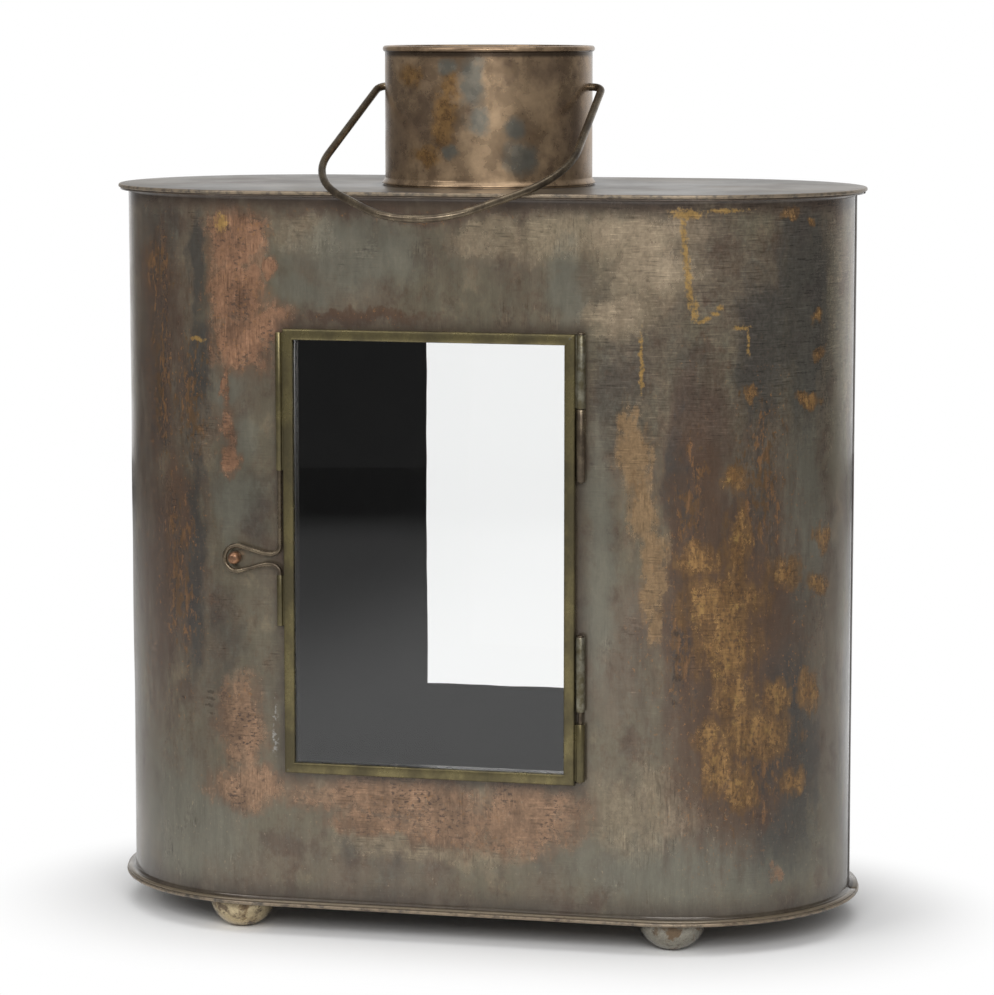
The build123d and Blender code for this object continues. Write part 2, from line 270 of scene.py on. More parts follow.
GOLD_RUNS = (
    (83, -77, 256, 1, 8),
    (83.5, -77, 245, 1, 8),
    (102, -75, 311.5, 7, 2.2),
    (117, -69, 313, 9, 0.9),
    (100.2, -75, 304, 1.3, 8),
    (101.2, -75, 295, 1.2, 8),
    (102, -75, 287, 1.3, 8),
    (103.2, -75, 279, 1.3, 7),
    (105, -74, 272, 1.6, 5),
    (107.5, -74, 267.5, 2.2, 1.2),
    (110, -73, 268.5, 2, 1.2),
    (112.5, -72, 270.5, 2, 1.2),
    (115, -71, 273, 1.8, 1.2),
    (123, -66, 264.5, 4, 0.9),
    (126, -65, 258, 0.9, 6),
    (-98, -76, 306, 3, 4),
    (-110, -72, 256, 4, 1),
)
SPOT_BLOTS = (
    (98, -76, 137, 1.7, 1.7),
    (99, -76, 127, 1.3, 2.2),
    (99, -76, 118, 2.1, 2.4),
    (98, -76, 108, 1.8, 1.8),
    (-105, -74, 104, 2.4, 0.8),
    (-105, -74, 101, 2.2, 0.7),
    (-106, -74, 98, 2.4, 0.8),
    (-105, -74, 95, 1.8, 0.7),
    (-119, -69, 100, 1.7, 0.8),
    (60, 77, 150, 2, 2),
)
SCUFF_BLOTS = (
    (-76, -77, 84, 1.7, 8),
    (-75.5, -77, 96, 1.1, 7),
    (120, 67, 60, 3, 7),
)
CHIMNEY_BLUE_BLOTS = (
    (-6.5, -44.5, 371, 4, 3),
    (4, -45, 363, 5, 11),
    (6, -45, 348, 5, 6),
    (21, -40, 344, 4.5, 5),
    (23, -38, 332, 7, 6),
    (-7, -44.5, 335, 3, 3),
    (-20, 40, 350, 12, 15),
    (35, 28, 340, 8, 12),
)
# The blots at (42, -16) and (-42, -16) are painted shade on the chimney's sides; the rest are dark patina
CHIMNEY_DARK_AND_SHADE_BLOTS = (
    (-22, -39, 366, 7, 6),
    (-18, -41, 356, 8, 6),
    (-32, -32, 342, 10, 16),
    (-22, -39, 345, 8, 8),
    (34, -30, 369, 12, 6),
    (42, -16, 341, 12, 17),
    (-42, -16, 350, 10, 26),
    (5, 45, 345, 16, 20),
)
CHIMNEY_OCHRE_BLOTS = (
    (-9, -44, 349, 6, 13),
    (-6, -45, 363, 4, 7),
    (-26, -37, 368, 8, 5),
    (-18, -41, 333, 7, 4),
    (-30, 33, 355, 12, 14),
    (20, 40, 360, 10, 10),
)
# The three front blots are a painted highlight down the chimney's front; the rear one is tan patina
CHIMNEY_TAN_AND_HIGHLIGHT_BLOTS = (
    (22, -39, 360, 14, 11),
    (5, -45, 331, 12, 7),
    (14, -43, 352, 11, 24),
    (-15, 42, 335, 16, 8),
)

# Finish of each hinge knuckle
KNUCKLE_FINISHES = {
    "door_knuckle_upper": "grey_solder",
    "body_knuckle_upper": "bent_wire",
    "body_knuckle_lower": "grey_solder",
    "door_knuckle_lower": "aged_brass",
}

# Studio
CAMERA_PLACE = (0.3932, -1.6453, 0.3965)
CAMERA_TARGET = (0.00345, 0.00082, 0.18204)
CAMERA_LENS = 140.31
CAMERA_SENSOR = 36.0
FLOOR_RADIUS = 1.8
LAMP_TARGET = (0, 0, 0.19)

# Soft lamps: place, width and height
LAMPS = {
    "key": ((0.45, -1.65, 0.98), 1.3, 0.8),
    "fill": ((-1.0, -1.3, 1.15), 0.8, 0.8),
    "top": ((0.0, -0.2, 1.5), 1.4, 1.0),
}


def size(name, description, default):
    """A length that a user may change, given in millimetres and kept in metres."""
    return FloatProperty(
        name=name, description=description, default=default * MM, min=0.0, precision=5, unit="LENGTH"
    )


def paint(name, description, default):
    """A colour that a user may change."""
    return FloatVectorProperty(
        name=name, description=description, default=(*default, 1.0), size=4, min=0.0, max=1.0,
        subtype="COLOR",
    )


class LanternSizes(bpy.types.PropertyGroup):
    """Sizes of the thin forms and of the rounding."""

    sheet: size("Sheet", "Thickness of the walls' and the chimney's sheet", 0.8)
    flange_reach: size("Flange reach", "How far the walls' turned-out edges stand out", 3.6)
    flange_bend: size("Flange bend", "Bend radius of the turned-out edges", 1.4)
    jamb_depth: size("Jamb depth", "How far the door opening's edges turn inwards", 7.4)
    jamb_bend: size("Jamb bend", "Bend radius of the door opening's edges", 0.5)
    opening_margin: size("Opening margin", "The wall's opening is wider than the sight by this", 0.6)
    seam_gap: size("Seam gap", "Line left open between the two half walls", 0.6)
    lap_width: size("Lap width", "Strip of the rear wall tucked behind the front wall", 6.0)
    lap_clearance: size("Lap clearance", "Between that strip and the front wall", 0.05)
    dent_depth: size("Dent depth", "How far the hand-beaten sheet wanders", 0.28)
    dent_wave: size("Dent wave", "Distance from one dent to the next", 46.0)
    cut_wander: size("Cut wander", "How far the rear opening's hand-cut edge wanders", 0.4)
    cut_wave: size("Cut wave", "Distance from one bend of that edge to the next", 14.0)
    rear_margin: size("Rear margin", "From the rear opening to the inside of its frame", 1.5)
    rim_round: size("Rim rounding", "Rounding of the lid's and the base's edges", 0.7)
    vent_radius: size("Vent radius", "Hole in the lid under the chimney", 40.2)
    foot_wall: size("Foot wall", "Sheet of the pressed feet", 1.0)
    foot_flat: size("Foot flat", "How far the feet are worn flat", 0.35)
    foot_dent: size("Foot dent", "How far the feet's sheet wanders", 0.25)
    foot_dent_wave: size("Foot dent wave", "Distance from one dent of a foot to the next", 9.0)
    collar_step: size("Collar step", "Height of the steps in the chimney's collar", 0.6)
    collar_foot: size("Collar foot", "How far the collar's foot stands out", 0.4)
    collar_neck: size("Collar neck", "How far the collar's upper edge stands out", 0.25)
    frame_lip: size("Channel lip", "Wall of the channels around the panes", 0.9)
    frame_round: size("Channel rounding", "Rounding of the channels' front edges", 0.75)
    pane_seat: size("Pane seat", "How far a pane runs into its channels", 3.3)
    pane_play: size("Pane play", "Between a pane's edge and the bottom of its channel", 0.3)
    pane_arris: size("Pane arris", "Ground edge of the panes", 0.25)
    knuckle_radius: size("Knuckle radius", "Outside of the hinge knuckles", 2.0)
    knuckle_bore: size("Knuckle bore", "Hole of the hinge knuckles", 0.96)
    knuckle_web: size("Knuckle web", "Thickness of the solder that holds a knuckle", 1.6)
    web_inset: size("Web inset", "From the end of a knuckle or tube to its solder", 0.3)
    pin_radius: size("Pin radius", "Hinge pins", 0.9)
    pin_head_height: size("Pin head height", "Rounded head of the hinge pins", 1.0)
    latch_tube_bore: size("Latch tube bore", "Hole of the tubes that hold the latch", 1.06)
    latch_wire_radius: size("Latch wire radius", "Wire of the latch", 1.0)
    latch_tube_web: size("Latch tube web", "Thickness of the solder that holds a latch tube", 1.2)
    stud_round: size("Stud rounding", "Rounding of the stud's head", 1.9)
    bail_wire_radius: size("Bail wire radius", "Wire of the bail", 1.65)
    bail_rest_gap: size("Bail rest gap", "Between the bail's wire and the lid's edge", 0.3)
    bail_bore: size("Bail bore", "Radius of the holes in the chimney for the bail", 1.73)


class LanternColours(bpy.types.PropertyGroup):
    """Colours of the finishes, written as they show under plain light."""

    bronze_brown: paint("Bronze brown", "Warm ground of the patina", (0.150, 0.121, 0.089))
    grey_green: paint("Grey green", "Cool ground of the patina", (0.150, 0.130, 0.092))
    tan: paint("Tan", "Thinly rubbed places of the ground", (0.250, 0.198, 0.132))
    verdigris: paint("Verdigris", "Thin green bloom", (0.158, 0.152, 0.120))
    umber: paint("Umber", "Dark brown patina", (0.090, 0.060, 0.045))
    blue_black: paint("Blue black", "Darkest patina", (0.056, 0.054, 0.050))
    copper: paint("Copper", "Bare salmon copper", (0.258, 0.142, 0.084))
    copper_dark: paint("Dark copper", "Stained copper", (0.150, 0.086, 0.054))
    rose: paint("Rose", "Paler bare copper low on the walls", (0.285, 0.176, 0.108))
    rose_dark: paint("Dark rose", "Stained paler copper", (0.180, 0.114, 0.072))
    beige: paint("Beige", "Pale worn bronze beside the door", (0.225, 0.146, 0.076))
    ochre: paint("Ochre", "Golden bare bronze", (0.290, 0.166, 0.064))
    ochre_dark: paint("Dark ochre", "Stained golden bronze", (0.145, 0.080, 0.034))
    gold: paint("Gold", "Bright golden runs", (0.330, 0.205, 0.070))
    rust: paint("Rust", "Red-brown stain under the gold", (0.110, 0.067, 0.044))
    tan_light: paint("Light tan", "Pale specks", (0.310, 0.242, 0.168))
    orange: paint("Orange", "Small bright flecks", (0.270, 0.140, 0.060))
    # Serves fine pits and dark spots, and also the painted shade in corners, along a seam, under the bead,
    # round the chimney's foot and under the base
    grime_and_shade: paint("Grime", "Dirt in the corners", (0.036, 0.025, 0.018))
    scuff: paint("Scuff", "Pale rubbed metal", (0.380, 0.370, 0.345))
    lid_grey: paint("Lid grey", "Warm grey of the lid", (0.120, 0.106, 0.090))
    blue_grey: paint("Blue grey", "Cool stain on the chimney", (0.128, 0.138, 0.124))
    chimney_brown: paint("Chimney brown", "Dark ground of the chimney", (0.185, 0.126, 0.078))
    chimney_tan: paint("Chimney tan", "Light ground of the chimney", (0.340, 0.238, 0.146))
    soot: paint("Soot", "Blackened inside", (0.011, 0.011, 0.010))
    soot_dark: paint("Dark soot", "Blackest places inside", (0.006, 0.006, 0.006))
    floor_inside: paint("Inner floor", "Dark grey floor inside", (0.030, 0.030, 0.030))
    brass: paint("Brass", "Aged olive brass of the channels", (0.200, 0.166, 0.078))
    brass_dark: paint("Dark brass", "Stained brass", (0.100, 0.084, 0.046))
    wire: paint("Wire", "Bronzed wire", (0.190, 0.150, 0.100))
    wire_dark: paint("Dark wire", "Stained wire", (0.085, 0.065, 0.046))
    foot: paint("Foot", "Patinated brass of the feet", (0.560, 0.460, 0.290))
    foot_dark: paint("Dark foot", "Stained feet", (0.310, 0.290, 0.240))
    stud: paint("Stud", "Copper stud", (0.330, 0.170, 0.090))
    solder: paint("Solder", "Greyed solder", (0.230, 0.215, 0.165))
    glass: paint("Glass", "Tint of the panes", (0.995, 1.0, 0.998))
    floor: paint("Floor", "Pale floor under the lantern", (0.90, 0.90, 0.90))


class LanternStudio(bpy.types.PropertyGroup):
    """Camera and lamps."""

    camera_place: FloatVectorProperty(
        name="Camera place", description="Where the camera stands", default=CAMERA_PLACE,
        subtype="TRANSLATION",
    )
    camera_target: FloatVectorProperty(
        name="Camera target", description="Point at the middle of the view", default=CAMERA_TARGET,
        subtype="TRANSLATION",
    )
    lens: FloatProperty(
        name="Lens", description="Focal length", default=CAMERA_LENS, min=1.0, unit="CAMERA"
    )
    sky: FloatProperty(
        name="Sky", description="Even light from all around", default=0.42, min=0.0
    )
    room: FloatProperty(
        name="Room", description="Brightness of the room in front, as metal and glass reflect it",
        default=0.13, min=0.0,
    )
    behind_panes: FloatProperty(
        name="Behind panes", description="White seen through the panes, which take a little of it away",
        default=1.0, min=0.0,
    )
    key_watts: FloatProperty(
        name="Key", description="Soft lamp high in front", default=19.0, min=0.0, unit="POWER"
    )
    fill_watts: FloatProperty(
        name="Fill", description="Soft lamp high on the left", default=8.0, min=0.0, unit="POWER"
    )
    top_watts: FloatProperty(
        name="Top", description="Soft lamp overhead", default=7.0, min=0.0, unit="POWER"
    )


# Mesh tools


def wire(bm, points, closed=False):
    """Join a few points by edges and return the vertices."""
    verts = [bm.verts.new(point) for point in points]
    ends = verts[1:] + verts[:1] if closed else verts[1:]
    for pair in zip(verts, ends):
        bm.edges.new(pair)
    return verts


def round_corners(bm, verts, radius, steps=4):
    """Round square corners of a wire or of a face."""
    bmesh.ops.bevel(
        bm, geom=verts, offset=radius, offset_type="OFFSET", segments=steps, profile=0.5, affect="VERTICES",
        material=-1,
    )


def round_edges(bm, edges, radius, steps=3):
    """Round sharp edges of a mesh."""
    bmesh.ops.bevel(
        bm, geom=edges, offset=radius, offset_type="OFFSET", segments=steps, profile=0.5, affect="EDGES",
        material=-1, clamp_overlap=True,
    )


def whole(bm):
    """All the geometry of a mesh, as an operator takes it."""
    return bm.verts[:] + bm.edges[:] + bm.faces[:]


def run_along(bm, geom, way, steps):
    """Carry a profile or a face straight along a way and return its last copy."""
    step = Vector(way) / steps
    return bmesh.ops.spin(
        bm, geom=geom, cent=(0, 0, 0), axis=(0, 0, 1), dvec=step, angle=0.0, steps=steps
    )["geom_last"]


def turn_about(bm, geom, centre, axis, angle, steps):
    """Carry a profile or a face round an axis and return its last copy."""
    return bmesh.ops.spin(
        bm, geom=geom, cent=centre, axis=axis, angle=angle, steps=steps
    )["geom_last"]


def revolve(bm, centre=(0, 0, 0), axis=(0, 0, 1), steps=48):
    """Turn the whole wire round an axis into a closed form."""
    bmesh.ops.spin(
        bm, geom=whole(bm), cent=centre, axis=axis, angle=math.tau, steps=steps, use_merge=True
    )


def sweep_half(bm, geom, end, side):
    """Carry a profile from one end of the oval round its front (side -1) or its rear to the other end."""
    quarter = end * side * math.pi / 2
    axis = (0, 0, 1)
    geom = turn_about(bm, geom, (end * half_straight, 0, 0), axis, quarter, QUARTER_STEPS)
    geom = run_along(bm, geom, (-2 * end * half_straight, 0, 0), RUN_STEPS)
    return turn_about(bm, geom, (-end * half_straight, 0, 0), axis, quarter, QUARTER_STEPS)


def sweep_oval(bm):
    """Carry the whole wire, which stands at the right end, once round the oval."""
    geom = sweep_half(bm, whole(bm), 1, -1)
    sweep_half(bm, geom, -1, 1)
    bmesh.ops.remove_doubles(bm, verts=bm.verts, dist=WELD)


def open_loop(bm, height, inside_of):
    """Edges of the open border that lies at a height, within a reach of the middle."""
    return [
        edge
        for edge in bm.edges
        if edge.is_boundary
        and all(abs(v.co.z - height) < WELD and abs(v.co.y) < inside_of for v in edge.verts)
    ]


def bend_sheet(bm, depth, wave, freedom):
    """Let a sheet wander in and out by a slow noise, as far as freedom lets each point."""
    bm.normal_update()
    shifts = [(v, v.normal * noise.noise(v.co / wave) * depth * freedom(v.co)) for v in bm.verts]
    for vert, shift in shifts:
        vert.co += shift


def ease(value):
    """Smooth step from 0 to 1."""
    value = min(max(value, 0.0), 1.0)
    return value * value * (3 - 2 * value)


def sweep_wire(bm, corners, bends, radius, segments, step):
    """Carry a disc along straight runs joined by round bends."""
    heading = (corners[1] - corners[0]).normalized()
    disc = bmesh.ops.create_circle(bm, cap_ends=True, radius=radius, segments=segments)["verts"]
    stand = Matrix.Translation(corners[0]) @ heading.to_track_quat("Z", "Y").to_matrix().to_4x4()
    bmesh.ops.transform(bm, matrix=stand, verts=disc)
    face = disc[0].link_faces[0]
    geom = [face, *face.edges, *face.verts]
    place = corners[0]
    for index in range(1, len(corners) - 1):
        corner = corners[index]
        leaving = (corners[index + 1] - corner).normalized()
        angle = heading.angle(leaving)
        cut = bends[index] * math.tan(angle / 2)
        start = corner - heading * cut
        way = start - place
        if way.length > WELD:
            geom = run_along(bm, geom, way, max(1, round(way.length / step)))
        axis = heading.cross(leaving).normalized()
        centre = start + axis.cross(heading) * bends[index]
        turns = max(4, round(angle * bends[index] / step), round(angle / math.radians(12)))
        geom = turn_about(bm, geom, centre, axis, angle, turns)
        place = corner + leaving * cut
        heading = leaving
    way = corners[-1] - place
    run_along(bm, geom, way, max(1, round(way.length / step)))
    ends = [face for face in bm.faces if len(face.verts) == segments]
    round_edges(bm, [edge for face in ends for edge in face.edges], 0.4 * radius)


def add_box(bm, low, high, rounding):
    """Add a block with rounded edges between two corners."""
    low, high = Vector(low), Vector(high)
    verts = bmesh.ops.create_cube(bm, size=1.0)["verts"]
    bmesh.ops.scale(bm, vec=high - low, verts=verts)
    bmesh.ops.translate(bm, vec=(low + high) / 2, verts=verts)
    edges = list({edge for vert in verts for edge in vert.link_edges})
    round_edges(bm, edges, rounding)


def add_tube(bm, x, y, low, high, radius, bore, rounding):
    """Add an upright tube with rounded ends."""
    part = bmesh.new()
    inner, outer = x + bore, x + radius
    ring = wire(part, [(inner, y, low), (outer, y, low), (outer, y, high), (inner, y, high)], closed=True)
    round_corners(part, ring, rounding, 2)
    revolve(part, (x, y, 0), steps=BARREL_STEPS)
    merge_into(bm, part)


def merge_into(bm, part):
    """Put another mesh into this one."""
    store = bpy.data.meshes.new("part")
    part.to_mesh(store)
    part.free()
    bm.from_mesh(store)
    bpy.data.meshes.remove(store)


def make_piece(name, bm, materials, body, nodes, sharp=38.0, closed=True):
    """Make a mesh a piece that rides on a body; a closed one gets its seams merged and its faces turned."""
    if closed:
        bmesh.ops.remove_doubles(bm, verts=bm.verts, dist=WELD)
        bmesh.ops.recalc_face_normals(bm, faces=bm.faces)
    mesh = bpy.data.meshes.new(name)
    bm.to_mesh(mesh)
    bm.free()
    mesh.shade_smooth()
    mesh.set_sharp_from_angle(angle=math.radians(sharp))
    for material in materials:
        mesh.materials.append(material)
    piece = bpy.data.objects.new(name, mesh)
    bpy.context.scene.collection.objects.link(piece)
    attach(piece, body)
    if nodes:
        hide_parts(*nodes)
    return piece


def thicken(piece, thickness, inside=0):
    """Give a sheet its thickness, inwards from its faces."""
    solid = piece.modifiers.new("Sheet", "SOLIDIFY")
    solid.thickness = thickness
    solid.offset = -1.0
    solid.use_even_offset = True
    solid.material_offset = inside


# Shader tools


def new_material(name):
    """Start a material with an empty tree and return both."""
    material = bpy.data.materials.new(name)
    material.use_nodes = True
    material.node_tree.nodes.clear()
    return material, material.node_tree


def node(tree, kind, inputs=None, **options):
    """Add a node, set its options, and set or link its inputs."""
    made = tree.nodes.new(kind)
    for option, value in options.items():
        setattr(made, option, value)
    for socket, value in (inputs or {}).items():
        if isinstance(value, bpy.types.NodeSocket):
            tree.links.new(value, made.inputs[socket])
        else:
            made.inputs[socket].default_value = value
    return made


def object_point(tree):
    """Place on the object, in metres."""
    return node(tree, "ShaderNodeTexCoord").outputs["Object"]


def split(tree, vector):
    """The three parts of a place or of a coloured noise."""
    return node(tree, "ShaderNodeSeparateXYZ", {0: vector}).outputs[:]


def calc(tree, operation, first, second=0.0, third=0.0):
    """Arithmetic on values."""
    return node(tree, "ShaderNodeMath", {0: first, 1: second, 2: third}, operation=operation).outputs[0]


def fade(tree, value, low, high, start=0.0, end=1.0):
    """Go smoothly from start to end while a value goes from low to high."""
    inputs = {"Value": value, "From Min": low, "From Max": high, "To Min": start, "To Max": end}
    return node(tree, "ShaderNodeMapRange", inputs, interpolation_type="SMOOTHSTEP").outputs["Result"]


def both(tree, first, second):
    """Where two masks overlap."""
    return calc(tree, "MULTIPLY", first, second)


def either(tree, first, second):
    """Where one mask or the other lies."""
    return calc(tree, "MAXIMUM", first, second)


def mix(tree, factor, under, over):
    """Lay one colour over another."""
    return node(tree, "ShaderNodeMix", {0: factor, 6: under, 7: over}, data_type="RGBA").outputs[2]


def grain(tree, point, wave, detail=3.0, rough=0.55, stretch=(1, 1, 1)):
    """Noise with clouds about one wave across, in millimetres, drawn out along some axes."""
    scale = [1 / (wave * MM * part) for part in stretch]
    spread = node(tree, "ShaderNodeMapping", {"Vector": point, "Scale": scale}, vector_type="POINT")
    inputs = {"Vector": spread.outputs[0], "Scale": 1.0, "Detail": detail, "Roughness": rough}
    return node(tree, "ShaderNodeTexNoise", inputs).outputs


def three_grains(tree, point, wave, detail=3.0, rough=0.55, stretch=(1, 1, 1)):
    """Three noises of one scale that have nothing to do with each other."""
    return split(tree, grain(tree, point, wave, detail, rough, stretch)["Color"])


def brighten(tree, colour, value):
    """Scale a colour's brightness."""
    return node(tree, "ShaderNodeHueSaturation", {"Color": colour, "Value": value}).outputs["Color"]


def shift_point(tree, point, wander, reach):
    """Move a place by a coloured noise, up to half a reach each way."""
    moved = node(
        tree, "ShaderNodeVectorMath", {0: wander, 1: (reach * MM,) * 3, 2: point}, operation="MULTIPLY_ADD"
    ).outputs[0]
    back = (-0.5 * reach * MM,) * 3
    return node(tree, "ShaderNodeVectorMath", {0: moved, 1: back}, operation="ADD").outputs[0]


def frayed_point(tree, point, reach=1.0):
    """Shift the place where blots are looked up, so that their edges wander and fray."""
    slow = grain(tree, point, 17, detail=3, stretch=(1, 1, 1.4))["Color"]
    fast = grain(tree, point, 5, detail=6, rough=0.72, stretch=(1, 1, 1.6))["Color"]
    return shift_point(tree, shift_point(tree, point, slow, 15 * reach), fast, 11 * reach)


def blots(tree, point, places):
    """Strongest of some soft blots: 1 in a blot's middle, about 0.4 at its edge, 0 well outside."""
    spread = 1.65 * MM
    strongest = None
    for x, y, z, across, up in places:
        inputs = {
            "Vector": point,
            "Location": (x * MM, y * MM, z * MM),
            "Scale": (across * spread, across * spread, up * spread),
        }
        place = node(tree, "ShaderNodeMapping", inputs, vector_type="TEXTURE").outputs[0]
        ball = node(tree, "ShaderNodeTexGradient", {"Vector": place}, gradient_type="SPHERICAL")
        blot = ball.outputs["Fac"]
        strongest = blot if strongest is None else either(tree, strongest, blot)
    return strongest


def worn(tree, field, breaking, amount, low, high, most=1.0):
    """Edge of a layer: its soft field, broken up by a noise, cut between two levels."""
    centred = calc(tree, "SUBTRACT", breaking, 0.5)
    broken = calc(tree, "MULTIPLY_ADD", centred, amount, field)
    return both(tree, fade(tree, broken, low, high, 0.0, most), fade(tree, field, 0.0, 0.2))


def flaking(tree, field, slow, fast, most=1.0, scatter=2.0, crisp=0.5):
    """A layer that is rubbed thin in places and partly flaked off round its edges."""
    low = 0.18 * scatter - 0.02
    soft = worn(tree, field, slow, 1.3, 0.10, 0.62, (1 - crisp) * most)
    flakes = worn(tree, field, fast, scatter, low, low + 0.06 * scatter, crisp * most)
    return calc(tree, "ADD", soft, flakes)


def scratches(tree, point, where):
    """Fine scratches, upright in some places and level in others: 0.5 between them, more or less on them."""
    upright = grain(tree, point, 0.6, detail=2, stretch=(1, 1, 14))["Fac"]
    level = grain(tree, point, 0.6, detail=2, stretch=(14, 14, 1))["Fac"]
    inputs = {0: where, 2: upright, 3: level}
    return node(tree, "ShaderNodeMix", inputs, data_type="FLOAT").outputs[0]


def oval_reach(tree, point):
    """Distance from the line that joins the middles of the oval's two round ends."""
    x, y, _ = split(tree, point)
    past = calc(tree, "SUBTRACT", calc(tree, "ABSOLUTE", x), half_straight)
    flat = node(tree, "ShaderNodeCombineXYZ", {0: calc(tree, "MAXIMUM", past, 0.0), 1: y}).outputs[0]
    return node(tree, "ShaderNodeVectorMath", {0: flat}, operation="LENGTH").outputs["Value"]


def close_material(tree, inputs, height=None, depth=0.05):
    """End a tree with its surface shader and, where it has one, a bump."""
    surface = node(tree, "ShaderNodeBsdfPrincipled", inputs)
    if height is not None:
        bump = node(tree, "ShaderNodeBump", {"Height": height, "Strength": 0.5, "Distance": depth * MM})
        tree.links.new(bump.outputs[0], surface.inputs["Normal"])
    node(tree, "ShaderNodeOutputMaterial", {"Surface": surface.outputs[0]})


# Finishes


def corner_shade(tree, point):
    """Painted shade on the walls: under the lid, over the base, round the door and at the end seams."""
    x, y, z = split(tree, point)
    under_lid = fade(tree, z, shell_high.z - 11 * MM, shell_high.z - 3 * MM)
    over_base = fade(tree, z, shell_low.z + 13 * MM, shell_low.z + 1 * MM, 0.0, 0.8)
    door_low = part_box("door_bottom_rail")[0]
    door_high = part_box("door_top_rail")[1]
    middle = (door_low + door_high) / 2
    half = (door_high - door_low) / 2
    aside = calc(tree, "SUBTRACT", calc(tree, "ABSOLUTE", calc(tree, "SUBTRACT", x, middle.x)), half.x)
    above = calc(tree, "SUBTRACT", calc(tree, "ABSOLUTE", calc(tree, "SUBTRACT", z, middle.z)), half.z)
    from_door = either(tree, aside, above)
    by_door = both(tree, fade(tree, from_door, 9 * MM, 0.0, 0.0, 0.8), fade(tree, y, -0.070, -0.074))
    by_seam = fade(tree, calc(tree, "ABSOLUTE", y), 7 * MM, 0.0, 0.0, 0.7)
    return either(tree, either(tree, under_lid, over_base), either(tree, by_door, by_seam))


